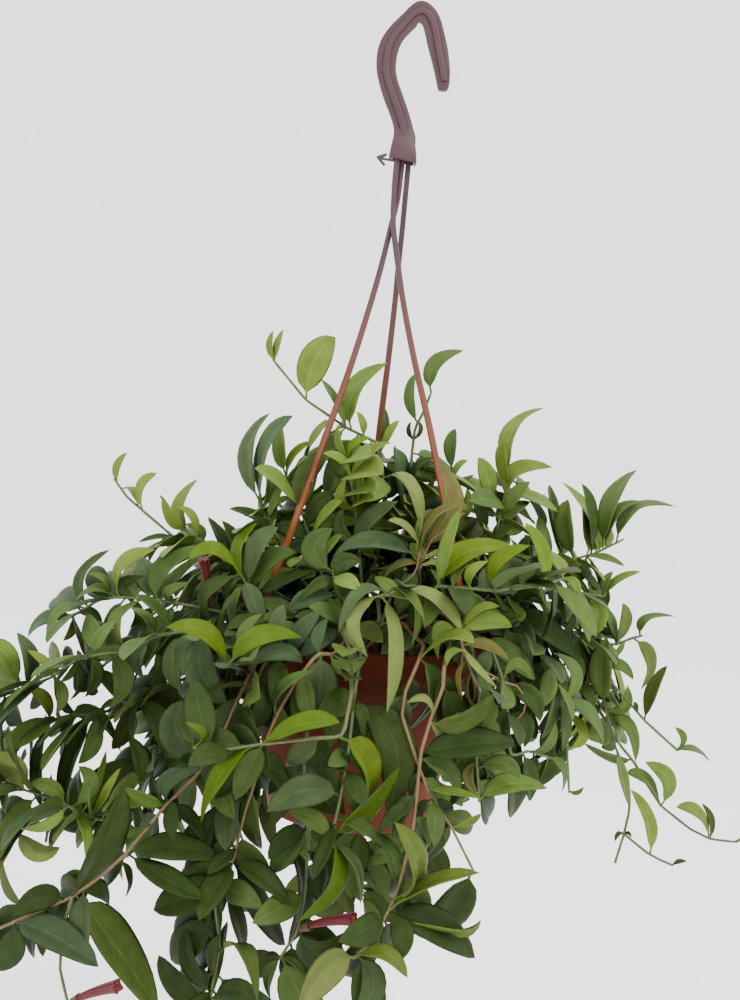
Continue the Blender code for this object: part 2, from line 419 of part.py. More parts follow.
# The tops of the straps in the collar as (x, y), and the arrow at the end of the right one as (x, z)
STRAP_TOPS = {"left": (-4.0, 0.0), "right": (-7.7, -4.2), "back": (0.1, 4.2)}
ARROW = ((-9.5, -94.5), (-9.5, -92.9), (-17.6, -92.3), (-14.6, -90.6), (-15.3, -89.0), (-21.6, -91.6),
         (-22.0, -92.5), (-16.5, -97.9), (-15.2, -96.8), (-18.2, -93.7))
# Middles of the straps in the usual view, from under the collar down
STRAP_LINES = {
    "left": ((400.6, 176), (397.5, 200), (391.5, 224), (381.2, 266), (371.5, 300), (352.5, 360), (324, 440),
             (295, 520)),
    "right": ((395.2, 176), (393.7, 200), (393.2, 224), (398.2, 266), (403, 300), (414.5, 360), (432.5, 440)),
    "back": ((407.3, 176), (405, 200), (402.8, 224), (398.4, 266), (395.2, 300), (388.3, 360), (378.5, 440)),
}
# Stretches of the straps that nothing hides in the usual view: name, first and last y
STRAPS_SEEN = (("left", 200, 574), ("right", 200, 458), ("back", 200, 432))


def view_axes():
    """Forward, right and up of the usual view."""
    forward = Vector((0, math.cos(VIEW_PITCH), math.sin(VIEW_PITCH)))
    level, above = Vector((1, 0, 0)), Vector((0, -math.sin(VIEW_PITCH), math.cos(VIEW_PITCH)))
    c, s = math.cos(VIEW_ROLL), math.sin(VIEW_ROLL)
    return forward, c * level - s * above, s * level + c * above


FORWARD, RIGHT, UP = view_axes()


def at(x, y, ahead):
    """The point seen at (x, y) in the picture, ahead mm before the pot's axis."""
    ray = FORWARD + RIGHT * ((x - VIEW_WIDTH / 2) / VIEW_FOCUS) + UP * ((VIEW_HEIGHT / 2 - y) / VIEW_FOCUS)
    return VIEW_EYE + ray * ((-VIEW_EYE.y - ahead * MM) / ray.y)


def in_view(point):
    d = point - VIEW_EYE
    depth = d.dot(FORWARD)
    return (VIEW_WIDTH / 2 + VIEW_FOCUS * d.dot(RIGHT) / depth,
            VIEW_HEIGHT / 2 - VIEW_FOCUS * d.dot(UP) / depth)


def around(azimuth, radius, z):
    """A point about the pot's axis: 0 degrees at +X, 90 to the viewer."""
    a = math.radians(azimuth)
    return Vector((AXIS_X + radius * math.cos(a), -radius * math.sin(a), z))


def azimuth_of(point):
    return math.degrees(math.atan2(-point.y, point.x - AXIS_X)), math.hypot(point.x - AXIS_X, point.y)


class Shape:
    """Points and faces in build, with the material number of each face."""

    def __init__(self):
        self.points, self.faces, self.kinds = [], [], []

    def add(self, points, faces, kind=0):
        first = len(self.points)
        self.points += points
        self.faces += [tuple(first + i for i in face) for face in faces]
        self.kinds += [kind] * len(faces)

    def tree(self):
        return BVHTree.FromPolygons([tuple(p) for p in self.points], self.faces)

    def box(self):
        return ([min(p[i] for p in self.points) for i in range(3)],
                [max(p[i] for p in self.points) for i in range(3)])


class Obstacles:
    """What is already placed, so that the next piece keeps clear of it."""

    def __init__(self):
        self.placed = []

    def add(self, owner, shape, tag=None):
        low, high = shape.box()
        self.placed.append((owner, low, high, shape.tree(), tag))

    def hit(self, shape, skip=None, only=None, but=None):
        """Whether the shape cuts any placed piece, apart from those of the owner to skip."""
        low, high = shape.box()
        tree = None
        for owner, a, b, other, tag in self.placed:
            if owner == skip or (only is not None and owner != only) or (but is not None and tag == but):
                continue
            if any(low[i] > b[i] or a[i] > high[i] for i in range(3)):
                continue
            tree = tree or shape.tree()
            if tree.overlap(other):
                return True
        return False


def sweep(sections, kind=0, cap=True):
    """A skin over rings of equal count, in order, with flat ends. Rings run anticlockwise, seen from ahead."""
    shape = Shape()
    count = len(sections[0])
    points = [p for ring in sections for p in ring]
    faces = []
    for s in range(len(sections) - 1):
        a, b = s * count, (s + 1) * count
        for i in range(count):
            j = (i + 1) % count
            faces.append((a + i, a + j, b + j, b + i))
    if cap:
        faces.append(tuple(reversed(range(count))))
        faces.append(tuple(range(len(points) - count, len(points))))
    shape.add(points, faces, kind)
    return shape


def frames_along(points):
    """A tangent and two cross directions at each point, turned as little as possible from one to the next."""
    tangents = []
    for i, p in enumerate(points):
        a, b = points[max(i - 1, 0)], points[min(i + 1, len(points) - 1)]
        tangents.append((b - a).normalized())
    side = tangents[0].orthogonal().normalized()
    frames = []
    for i, t in enumerate(tangents):
        if i:
            turn = tangents[i - 1].rotation_difference(t)
            side = turn @ side
        side = (side - t * side.dot(t)).normalized()
        frames.append((t, side, t.cross(side)))
    return frames


def tube(points, radii, sides=3, grow=0.0, kind=0):
    rings = []
    for p, r, (t, side, other) in zip(points, radii, frames_along(points)):
        rings.append([p + (r + grow) * (math.cos(2 * math.pi * k / sides) * side
                                        + math.sin(2 * math.pi * k / sides) * other) for k in range(sides)])
    return sweep(rings, kind)


def turned(profile, sides, z=0.0):
    """A solid turned about the pot's axis from a closed profile of (radius, height) in mm, from axis to axis."""
    shape = Shape()
    points, starts = [], []
    for radius, height in profile:
        starts.append(len(points))
        if radius == 0:
            points.append(Vector((AXIS_X, 0, z + height * MM)))
        else:
            points += [around(-360 * k / sides, radius * MM, z + height * MM) for k in range(sides)]
    faces = []
    for i in range(len(profile) - 1):
        a, b = starts[i], starts[i + 1]
        for k in range(sides):
            j = (k + 1) % sides
            if profile[i][0] == 0:
                faces.append((a, b + j, b + k))
            elif profile[i + 1][0] == 0:
                faces.append((a + k, a + j, b))
            else:
                faces.append((a + k, a + j, b + j, b + k))
    shape.add(points, faces)
    return shape


POT_PROFILE = (
    (0, -123.2), (48, -123.2), (49.5, -125), (57, -125), (77.6, -1.8), (83.2, -1.8), (83.6, -18), (85, -18),
    (84.6, 0), (76, 0), (55.4, -121.4), (0, -121.4),
)


def soil_profile():
    def inner(height):
        return 76 - (76 - 55.4) * -height / 121.4 - 0.45
    top = -SOIL_DROP / MM
    return ((0, -121.1), (inner(-121.1), -121.1), (inner(top), top), (0, top + 2.4))


def slots():
    """Places for the stems in the soil, spread as seeds are in a sunflower."""
    return [(137.508 * k % 360, 66 * math.sqrt((k + 0.5) / SLOT_COUNT)) for k in range(SLOT_COUNT)]


def take_slot(free, azimuth, radius):
    wanted = around(azimuth, radius * MM, 0)
    best = min(free, key=lambda s: (around(s[0], s[1] * MM, 0) - wanted).length)
    free.remove(best)
    return best


def smooth(points, spacing):
    """Points along a Catmull-Rom curve through these, about spacing apart."""
    ends = [points[0] * 2 - points[1]] + points + [points[-1] * 2 - points[-2]]
    out = [points[0]]
    for i in range(1, len(ends) - 2):
        p = ends[i - 1:i + 3]
        k = [max((p[j + 1] - p[j]).length, 1e-6) ** 0.5 for j in range(3)]
        m1 = (p[1] - p[0]) / k[0] - (p[2] - p[0]) / (k[0] + k[1]) + (p[2] - p[1]) / k[1]
        m2 = (p[2] - p[1]) / k[1] - (p[3] - p[1]) / (k[1] + k[2]) + (p[3] - p[2]) / k[2]
        m1, m2 = m1 * k[1], m2 * k[1]
        steps = max(1, round((p[2] - p[1]).length / spacing))
        for s in range(1, steps + 1):
            t = s / steps
            out.append((2 * t ** 3 - 3 * t ** 2 + 1) * p[1] + (t ** 3 - 2 * t ** 2 + t) * m1
                       + (-2 * t ** 3 + 3 * t ** 2) * p[2] + (t ** 3 - t ** 2) * m2)
    return out


class Stem:
    """A stem's line of points, its thickness along it, and what grows on it."""

    def __init__(self, name, controls, leaves):
        self.name, self.leaves = name, leaves
        self.points = smooth(controls, 26 * MM)
        end = (self.points[-1] - self.points[-2]).normalized()
        self.points.append(self.points[-1] + end * 1.5 * MM)
        count = len(self.points) - 1
        self.radii = [STEM_FOOT_RADIUS + (STEM_TIP_RADIUS - STEM_FOOT_RADIUS) * min(1, 1.3 * i / count)
                      for i in range(count)] + [0.7 * MM]
        self.twigs = []

    def shape(self, grow=0.0, start=0):
        return tube(self.points[start:], self.radii[start:], 3, grow)

    def nearest(self, x, y):
        """The point of the stem or its twigs that shows nearest to (x, y), leaving out the foot."""
        lines = [self.points[1:-1]] + self.twigs
        spots = [a.lerp(b, k / 8) for line in lines for a, b in zip(line, line[1:]) for k in range(9)]
        return min(spots, key=lambda p: math.dist(in_view(p), (x, y)))


def controls_of(foot, route):
    """The stem's whole course: up out of its pit, over the rim where it has to, and along its route."""
    azimuth, radius = foot
    top = RIM_Z - SOIL_DROP
    points = [around(azimuth, radius * MM, top - PIT_DEPTH + GAP), around(azimuth, radius * MM, top + 12 * MM)]
    side, out = azimuth_of(route[0])
    if out > 80 * MM:
        points.append(around(side, 68 * MM, RIM_Z + 20 * MM))
        if out > 94 * MM or route[0].z < RIM_Z + 12 * MM:
            points.append(around(side, 88 * MM, max(RIM_Z + 15 * MM, route[0].z + 3 * MM)))
    return points + route


def in_soil(shape):
    top = RIM_Z - SOIL_DROP + 3.2 * MM
    return any(p.z < top and math.hypot(p.x - AXIS_X, p.y) < 75 * MM for p in shape.points)


def place_stem(name, foot, route, leaves, obstacles, chance):
    """The stem on its route, moved nearer or farther in the view where it would touch something."""
    for attempt in range(240):
        reach = 0.25 * attempt
        turn = chance.uniform(-1, 1) * min(reach, 16) if attempt else 0
        shift = chance.uniform(-1, 1) * reach if attempt else 0
        course = []
        for i, p in enumerate(route):
            own = shift + (chance.uniform(-0.5, 0.5) * reach if attempt else 0)
            toward = (VIEW_EYE - p).normalized()
            course.append(p + toward * own * MM)
        controls = controls_of(foot, course)
        extra = len(controls) - len(course) - 2
        for i in range(2, 2 + extra):
            side, out = azimuth_of(controls[i])
            controls[i] = around(side + turn, out, controls[i].z + chance.uniform(0, 0.4) * reach * MM)
        stem = Stem(name, controls, leaves)
        if in_soil(stem.shape(start=1)) or obstacles.hit(stem.shape(STEM_CLEARANCE)):
            continue
        obstacles.add(name, stem.shape(), "stem")
        return stem
    print("no clear course for", name)
    return None


BIG_LEAF = ((0.17, 0.7, 1.1), (0.45, 1.0, 1.3), (0.76, 0.68, 1.1))
SMALL_LEAF = ((0.22, 0.82, 1.1), (0.6, 0.92, 1.1))


class Leaf:
    """A leaf's midrib, a curve through three points, with the way its upper face looks and its width."""

    def __init__(self, base, middle, tip, normal, width, kind):
        self.base, self.tip, self.kind, self.width = base, tip, kind, width
        self.bend = middle * 2 - (base + tip) / 2
        self.normal = normal
        self.length = (middle - base).length + (tip - middle).length

    def point(self, t):
        return (1 - t) ** 2 * self.base + 2 * t * (1 - t) * self.bend + t ** 2 * self.tip

    def frame(self, t):
        """Tangent, upper face's normal and the direction across, at t along the midrib."""
        tangent = ((1 - t) * (self.bend - self.base) + t * (self.tip - self.bend)).normalized()
        normal = (self.normal - tangent * self.normal.dot(tangent)).normalized()
        return tangent, normal, tangent.cross(normal)

    def table(self):
        return BIG_LEAF if self.length > 48 * MM else SMALL_LEAF

    def shape(self):
        table, shape = self.table(), Shape()
        points = [self.base - self.frame(0)[0] * 0.45 * MM]
        for t, share, keel in table:
            tangent, normal, across = self.frame(t)
            c, half = self.point(t), share * self.width / 2
            points += [c - across * half, c + across * half, c - normal * keel * MM]
        points.append(self.tip)
        faces = [(0, 2, 1), (0, 3, 2), (0, 1, 3)]
        for s in range(len(table) - 1):
            a, b = 3 * s + 1, 3 * s + 4
            faces += [(a, a + 1, b + 1), (a, b + 1, b), (a + 1, a + 2, b + 1), (a + 2, b + 2, b + 1),
                      (a + 2, a, b + 2), (a, b, b + 2)]
        a, tip = 3 * len(table) - 2, len(points) - 1
        faces += [(a, a + 1, tip), (a + 1, a + 2, tip), (a + 2, a, tip)]
        shape.add(points, faces, self.kind)
        return shape

    def room(self, grow, lift, start=0.0):
        """The space that the leaf needs: its blade with grow all round and lift over it."""
        rings = []
        for t, share, keel in ((start, 0, 0.5),) + self.table() + ((1.0, 0, 0),):
            tangent, normal, across = self.frame(max(t, start))
            c, half = self.point(max(t, start)), share * self.width / 2 + grow
            if t == 1:
                c = c + tangent * grow
            rings.append([c - across * half + normal * lift, c - across * half - normal * grow,
                          c - normal * (keel * MM + grow), c + across * half - normal * grow,
                          c + across * half + normal * lift])
        return sweep(rings)


def seen_leaf(stem, spec, lean):
    """A leaf read from the view: its outline there is kept, and lean mm brings its tip nearer the viewer."""
    x0, y0, x1, y1, x2, y2, width, kind = spec
    base = stem.nearest(x0, y0)
    ahead = -base.y / MM
    shift = Vector(in_view(base)) - Vector((x0, y0))
    tip = at(x2, y2, ahead + lean)
    middle = at(x1 + shift.x * 0.4, y1 + shift.y * 0.4, ahead + lean * 0.5)
    chord = (tip - base).normalized()
    toward = (VIEW_EYE - middle).normalized()
    toward = (toward - chord * toward.dot(chord)).normalized()
    length = (tip - base).length
    seen = width * (-VIEW_EYE.y / MM - ahead) / VIEW_FOCUS * MM
    full = max(seen, (0.3 if kind == DRIED else 0.36) * length)
    full = min(full, 0.62 * length) if seen < 0.62 * length else seen
    tilt = math.acos(max(math.cos(math.radians(68)), min(1, seen / full)))
    sideways = chord.cross(toward)
    bow = (middle - (base + tip) / 2).dot(sideways)
    if abs(bow) < 0.03 * length:
        bow = sideways.z
    normal = math.cos(tilt) * toward + math.copysign(math.sin(tilt), bow) * sideways
    middle = middle + toward * (0.09 * length * math.cos(tilt))
    if kind == PALE:
        normal = -normal
    return Leaf(base, middle, tip, normal, full, kind)


def ruled_leaf(stem, at_point, along, turn, size, kind, droop):
    """A leaf that stands off the stem by rule: turn is its place round the stem, in radians."""
    side = along.orthogonal().normalized()
    out = Matrix.Rotation(turn, 3, along) @ side
    way = (out * 0.86 + along * 0.42 + Vector((0, 0, -droop))).normalized()
    normal = along + Vector((0, 0, 0.7)) + out * 0.1
    normal = (normal - way * normal.dot(way)).normalized()
    middle = at_point + way * size * 0.5 + normal * size * 0.1
    return Leaf(at_point, middle, at_point + way * size, normal, size * 0.4, kind)


def strap_marks():
    """Points of the straps that stay seen, each with its place in the view."""
    marks = []
    for name, first, last in STRAPS_SEEN:
        course = strap_course(name)
        for (a, share), (b, other) in zip(course, course[1:]):
            steps = max(1, round((b - a).length / (5 * MM)))
            for k in range(steps):
                across, _ = strap_axes(name, share + (other - share) * k / steps)
                for side in (-2.2 * MM, 0, 2.2 * MM):
                    p = a.lerp(b, k / steps) + across * side
                    x, y = in_view(p)
                    if first <= y <= last:
                        marks.append((x, y, p))
    return marks


def hides(shape, marks):
    """Whether the shape stands before a marked point, seen from the front."""
    seen = [in_view(p) for p in shape.points]
    low = [min(p[i] for p in seen) for i in (0, 1)]
    high = [max(p[i] for p in seen) for i in (0, 1)]
    tree = None
    for x, y, point in marks:
        if low[0] <= x <= high[0] and low[1] <= y <= high[1]:
            tree = tree or shape.tree()
            way = point - VIEW_EYE
            if tree.ray_cast(VIEW_EYE, way.normalized(), way.length)[0] is not None:
                return True
    return False


def tries(stem, spec, index):
    """The leaf as first wanted, then its alternatives, each a little farther from that."""
    if len(spec) == 8:
        long = math.hypot(spec[4] - spec[0], spec[5] - spec[1]) * 0.65
        first = 0.24 * long * (1 if index % 2 else -1)
        for shrink in (1, 0.84):
            for step in (0, 1, -1, 2, -2, 3, -3, 4, -4, 5, -5):
                leaf = seen_leaf(stem, spec, first + step * max(4, 0.13 * long))
                if shrink < 1:
                    tip = leaf.base.lerp(leaf.tip, shrink)
                    middle = leaf.base.lerp(leaf.point(0.5), shrink)
                    leaf = Leaf(leaf.base, middle, tip, leaf.normal, leaf.width * shrink, leaf.kind)
                yield leaf
    else:
        point, along, turn, size, kind, droop = spec
        for shrink in (1, 0.8, 0.6):
            for step in (0, 0.25, -0.25, 0.5, -0.5, 0.8, -0.8, 1.2, -1.2):
                yield ruled_leaf(stem, point, along, turn + step, size * shrink, kind, droop)


def place_leaf(stem, spec, index, obstacles, marks):
    """The first leaf of the tries that is clear of all, hides no mark and stays off its own stem's leaves."""
    second, third = None, None
    for leaf in tries(stem, spec, index):
        proxy = leaf.room(LEAF_CLEARANCE, 2 * LEAF_CLEARANCE)
        if in_soil(proxy) or obstacles.hit(proxy, skip=stem.name):
            continue
        if hides(leaf.shape(), marks):
            third = third or leaf
            continue
        inner = leaf.room(0.1 * MM, 0.2 * MM, start=0.16)
        if obstacles.hit(inner, only=stem.name):
            second = second or leaf
            continue
        break
    else:
        leaf = second or third
    if leaf:
        obstacles.add(stem.name, leaf.shape(), "leaf")
    return leaf


def box_between(x, y, z):
    """A box from its sides in mm."""
    corners = [Vector((a * MM, b * MM, c * MM)) for c in z for b, a in
               ((y[0], x[0]), (y[0], x[1]), (y[1], x[1]), (y[1], x[0]))]
    return sweep([corners[:4], corners[4:]])


def plate(outline, y, depth):
    """A flat piece from its outline as (x, z) in mm, anticlockwise seen from the viewer's side."""
    front = [Vector((x * MM, y - depth / 2, z * MM)) for x, z in outline]
    back = [Vector((x * MM, y + depth / 2, z * MM)) for x, z in outline]
    shape = Shape()
    count = len(front)
    faces = [tuple(range(count)), tuple(reversed(range(count, 2 * count)))]
    faces += [(i, i + count, (i + 1) % count + count, (i + 1) % count) for i in range(count)]
    shape.add(front + back, faces)
    return shape


def hook_plate(outer, inner):
    return plate(list(outer) + list(reversed(inner)), 0.0, HOOK_PLATE)


def hook_rib(points):
    """The rib along the middle of the hook, which stands out of both its faces."""
    rings = []
    for p, (t, _, _) in zip(points, frames_along(points)):
        across = Vector((0, 1, 0)).cross(t).normalized()
        w, d = across * HOOK_RIB_WIDTH / 2, Vector((0, HOOK_RIB / 2, 0))
        ring = [p - w - d, p + w - d, p + w + d, p - w + d]
        if across.cross(Vector((0, 1, 0))).dot(t) < 0:
            ring.reverse()
        rings.append(ring)
    return sweep(rings)


def collar_block():
    rings = []
    for z, middle, width, depth in COLLAR_RINGS:
        w, d = width / 2, depth / 2
        rings.append([Vector((middle + a * w, b * d, z - COLLAR_SLANT * a * w)) * MM
                      for a, b in ((-1, -1), (-1, 1), (1, 1), (1, -1))])
    return sweep(rings)


def strap_course(name):
    """Points of the strap's middle from inside the collar to its head under the rim, with how far it is turned."""
    x, y = STRAP_TOPS[name]
    end = around(STRAP_AZIMUTHS[name], SLOT_RADIUS, 0)
    foot, under, low = (Vector((end.x, end.y, RIM_Z + z * MM)) for z in (9, 2, -3))
    course = [(Vector((x * MM, y * MM, -88.5 * MM)), 0.0)]
    for across, down in STRAP_LINES[name]:
        share = max(0.0, (down - 200) / (in_view(foot)[1] - 200))
        course.append((at(across, down, -y - (foot.y / MM - y) * share), share))
    return course + [(foot, 1.0), (under, 1.0), (low, 1.0)]


def strap_axes(name, share):
    """Across and outward directions of the strap, turned from the viewer's side to the pot's side on its way."""
    a = math.radians(STRAP_AZIMUTHS[name])
    outward = Vector((math.cos(a), -math.sin(a), 0))
    front = Vector((0, -1, 0)) if outward.y < 0.1 else Vector((0, 1, 0))
    facing = front.lerp(outward, share).normalized()
    return facing.cross(Vector((0, 0, 1))), facing


def strap_body(name):
    thick = STRAP_THICKNESS
    rings = []
    for p, share in strap_course(name):
        across, facing = strap_axes(name, share)
        half = (STRAP_WIDTH + STRAP_WIDENING * share ** 1.5) / 2
        middle = p - facing * (thick + STRAP_RIDGE) / 2
        rings.append([middle - across * half, middle + across * half, middle + across * half + facing * thick,
                      middle + facing * (thick + STRAP_RIDGE), middle - across * half + facing * thick])
    across, facing = strap_axes(name, 0)
    if across.cross(facing).z > 0:
        rings = [list(reversed(ring)) for ring in rings]
    return sweep(rings)


def strap_head(name):
    """The arrow head that holds the strap under the rim."""
    across, facing = strap_axes(name, 1)
    centre = strap_course(name)[-1][0]
    outline = ((-4.5, 0.6), (-4.5, -0.8), (-1.6, -6.0), (1.6, -6.0), (4.5, -0.8), (4.5, 0.6))
    rings = []
    for side in (-1.2, 1.2):
        rings.append([centre + across * a * MM + Vector((0, 0, b * MM)) + facing * side * MM for a, b in outline])
    if across.cross(Vector((0, 0, 1))).dot(facing) > 0:
        return sweep(rings)
    return sweep([list(reversed(ring)) for ring in rings])


def slot_cutter(azimuth):
    a = math.radians(azimuth)
    facing = Vector((math.cos(a), -math.sin(a), 0))
    across = facing.cross(Vector((0, 0, 1)))
    centre = around(azimuth, SLOT_RADIUS, RIM_Z)
    rings = []
    for z in (-5 * MM, 3 * MM):
        c = centre + Vector((0, 0, z))
        w, d = across * SLOT_LENGTH / 2, facing * SLOT_WIDTH / 2
        ring = [c - w - d, c - w + d, c + w + d, c + w - d]
        rings.append(ring)
    if (rings[0][1] - rings[0][0]).cross(rings[0][2] - rings[0][1]).z < 0:
        rings = [list(reversed(ring)) for ring in rings]
    return sweep(rings)


def drain_cutter(index):
    centre = around(360 * (index + 0.5) / DRAIN_HOLES, 34 * MM, 0)
    rings = [[centre + Vector((DRAIN_RADIUS * math.cos(math.pi * k / 4), DRAIN_RADIUS * math.sin(math.pi * k / 4),
                               RIM_Z + z * MM)) for k in range(8)] for z in (-127, -119)]
    return sweep(rings)


def pit_cutter(stem):
    """A plain three-sided hole for the stem's foot."""
    foot = stem.points[0]
    line = [Vector((foot.x, foot.y, RIM_Z - SOIL_DROP - PIT_DEPTH)), Vector((foot.x, foot.y, RIM_Z + 8 * MM))]
    frame = frames_along(stem.points)[0]
    ring = [(STEM_FOOT_RADIUS + 0.8 * MM) * (math.cos(2 * math.pi * k / 3) * frame[1]
                                             + math.sin(2 * math.pi * k / 3) * frame[2]) for k in range(3)]
    return sweep([[p + r for r in ring] for p in line])


BLOOM_RINGS = ((0.0, 0.9, 0), (0.07, 2.0, 0), (0.24, 2.3, 0), (0.26, 2.0, 1), (0.6, 2.6, 1), (0.88, 3.3, 2), (1.0, 2.1, 2))


def bloom_shape(base, mouth, grow=0.0):
    """A curved tube of a flower, out of its cup."""
    chord = mouth - base
    lift = (Vector((0, 0, 1)) - chord.normalized() * chord.normalized().z) * chord.length * 0.1
    bend = (base + mouth) / 2 + lift
    points = [(1 - t) ** 2 * base + 2 * t * (1 - t) * bend + t ** 2 * mouth for t, _, _ in BLOOM_RINGS]
    shape = tube(points, [r * MM for _, r, _ in BLOOM_RINGS], 6, grow)
    for ring in range(len(BLOOM_RINGS) - 1):
        for k in range(6):
            shape.kinds[ring * 6 + k] = BLOOM_RINGS[ring + 1][2]
    shape.kinds[-1] = 2
    return shape


def place_bloom(name, base, mouth, stem, obstacles):
    """The flower a gap's width off its stem."""
    start, end = at(*base), at(*mouth)
    lines = [stem.points[2:-1]] + [line[1:] for line in stem.twigs]
    near = min((a.lerp(b, k / 8) for line in lines for a, b in zip(line, line[1:]) for k in range(9)),
               key=lambda p: (p - start).length)
    way = (end - near).normalized()
    for step in range(60):
        move = way * (1.2 + 0.15 * step) * MM
        if not obstacles.hit(bloom_shape(near + move, end + move, 0.3 * MM)):
            shape = bloom_shape(near + move, end + move)
            obstacles.add(name, shape, "bloom")
            return shape
    print("no place for", name)
    return None


def hidden_stems(chance):
    """Sprays behind the pot, which the view doesn't show: (name, foot, route, sizes)."""
    sprays = []
    for i in range(BACK_TRAILS):
        azimuth = 203 + 134 * (i + 0.5) / BACK_TRAILS + chance.uniform(-3, 3)
        drop = 62 + 190 * max(0.0, math.cos(math.radians(2.2 * (azimuth - 270)))) * chance.uniform(0.7, 1.1)
        rise = chance.uniform(22, 52)
        swing = chance.uniform(-5, 5)
        route = [around(azimuth, 70 * MM, RIM_Z + rise * MM),
                 around(azimuth + swing, chance.uniform(104, 114) * MM, RIM_Z + rise * 0.75 * MM)]
        reach = 122
        z = 0
        while z < drop:
            z += 46
            reach += chance.uniform(3, 11)
            route.append(around(azimuth + swing * (1 + z / 80), reach * MM, RIM_Z - (z - 30) * MM))
        sprays.append(("spray_back_%d" % (i + 1), (azimuth, chance.uniform(50, 62)), route))
    for i in range(BACK_SHOOTS):
        azimuth = 232 + 38 * i + chance.uniform(-5, 5)
        high = chance.uniform(66, 100)
        route = [around(azimuth, 44 * MM, RIM_Z + 0.5 * high * MM), around(azimuth, 62 * MM, RIM_Z + high * MM)]
        sprays.append(("shoot_back_%d" % (i + 1), (azimuth, chance.uniform(16, 34)), route))
    return sprays


def ruled_specs(stem, chance, spacing=56, first=36):
    """Opposite pairs of leaves up the stem, each pair a quarter turn on from the last."""
    specs = []
    run, wanted, turn = 0.0, first * MM, chance.uniform(0, 3)
    for a, b in zip(stem.points[1:-1], stem.points[2:]):
        step = (b - a).length
        while run + step >= wanted:
            p = a.lerp(b, min(0.97, (wanted - run) / step))
            along = (b - a).normalized()
            size = chance.uniform(38, 56) * MM
            kind = chance.choice((MIDDLE, DARK, DARK, GLOSSY, LIGHT))
            for side in (0, math.pi):
                specs.append((p, along, turn + side + chance.uniform(-0.2, 0.2), size * chance.uniform(0.9, 1.05),
                              kind, chance.uniform(0.1, 0.4)))
            turn += math.pi / 2
            wanted += spacing * MM * chance.uniform(0.9, 1.15)
        run += step
    return specs


def grow():
    """Every stem, leaf and flower in its place: (stems, {stem name: leaves}, {flower name: shape}, obstacles)."""
    obstacles = Obstacles()
    obstacles.add("pot", turned(POT_PROFILE, POT_SIDES, RIM_Z))
    for name in STRAP_AZIMUTHS:
        obstacles.add("strap_" + name, strap_body(name))
    chance = random.Random(SEED)
    free = slots()
    plan = [("spray_%02d" % (i + 1), foot, [at(*p) for p in route], list(leaves))
            for i, (foot, route, leaves) in enumerate(STEMS)]
    plan += [(name, foot, route, None) for name, foot, route in hidden_stems(chance)]
    stems = []
    for name, foot, route, leaves in plan:
        stem = place_stem(name, take_slot(free, *foot), route, leaves, obstacles, chance)
        if stem:
            stems.append(stem)
    named = {stem.name: stem for stem in stems}
    for number, course in TWIGS:
        stem = named["spray_%02d" % (number + 1)]
        line = [stem.nearest(*course[0][:2])] + [at(*p) for p in course[1:]]
        stem.twigs.append(line)
        obstacles.add(stem.name, tube(line, [STEM_TIP_RADIUS] * len(line)), "stem")
    blooms = {}
    for name, base, mouth, number in BLOOMS:
        blooms[name] = place_bloom(name, base, mouth, named["spray_%02d" % (number + 1)], obstacles)
    wanted = []
    for stem in stems:
        specs = stem.leaves if stem.leaves is not None else ruled_specs(stem, chance)
        wanted += [(stem, i, spec) for i, spec in enumerate(specs)]
    seen = [w for w in wanted if len(w[2]) == 8]
    seen.sort(key=lambda w: (w[2][7] != YOUNG, -math.hypot(w[2][4] - w[2][0], w[2][5] - w[2][1]) * w[2][6]))
    leaves = {stem.name: [] for stem in stems}
    marks = strap_marks()
    lost = []
    for stem, i, spec in seen + [w for w in wanted if len(w[2]) != 8]:
        leaf = place_leaf(stem, spec, i, obstacles, marks)
        if leaf:
            leaves[stem.name].append(leaf)
        else:
            lost.append((stem.name, i))
    print("leaves", sum(map(len, leaves.values())), "without a place", lost)
    return stems, leaves, blooms, obstacles


def linear(code):
    """Linear colour from an sRGB code."""
    values = [int(code[i:i + 2], 16) / 255 for i in (0, 2, 4)]
    return [v / 12.92 if v <= 0.04045 else ((v + 0.055) / 1.055) ** 2.4 for v in values] + [1]


def material(name, code, roughness):
    found = bpy.data.materials.new(name)
    found.use_nodes = True
    shader = found.node_tree.nodes["Principled BSDF"]
    shader.inputs["Base Color"].default_value = linear(code)
    shader.inputs["Roughness"].default_value = roughness
    shader.inputs["Metallic"].default_value = 0
    found.diffuse_color = linear(code)
    return found


def add_object(name, shape, materials, collection=None):
    mesh = bpy.data.meshes.new(name)
    mesh.from_pydata([tuple(p) for p in shape.points], [], shape.faces)
    for found in materials:
        mesh.materials.append(found)
    mesh.polygons.foreach_set("material_index", shape.kinds)
    mesh.update()
    made = bpy.data.objects.new(name, mesh)
    (collection or bpy.context.scene.collection).objects.link(made)
    return made


def add_cutters(name, shapes):
    """A hidden collection of helpers for one Boolean."""
    collection = bpy.data.collections.new(name)
    bpy.context.scene.collection.children.link(collection)
    for i, shape in enumerate(shapes):
        helper = add_object("%s_%d" % (name, i), shape, [], collection)
        helper.hide_render = True
        helper.display_type = "WIRE"
    return collection


def boolean(made, collection, operation):
    modifier = made.modifiers.new(collection.name, "BOOLEAN")
    modifier.operation = operation
    modifier.operand_type = "COLLECTION"
    modifier.collection = collection
    return modifier


def settle(made):
    """Applies the object's modifiers and removes their helpers."""
    helpers = [m.collection for m in made.modifiers]
    graph = bpy.context.evaluated_depsgraph_get()
    mesh = bpy.data.meshes.new_from_object(made.evaluated_get(graph))
    made.modifiers.clear()
    made.data = mesh
    for collection in helpers:
        for helper in list(collection.objects):
            bpy.data.objects.remove(helper)
        bpy.data.collections.remove(collection)
    return made


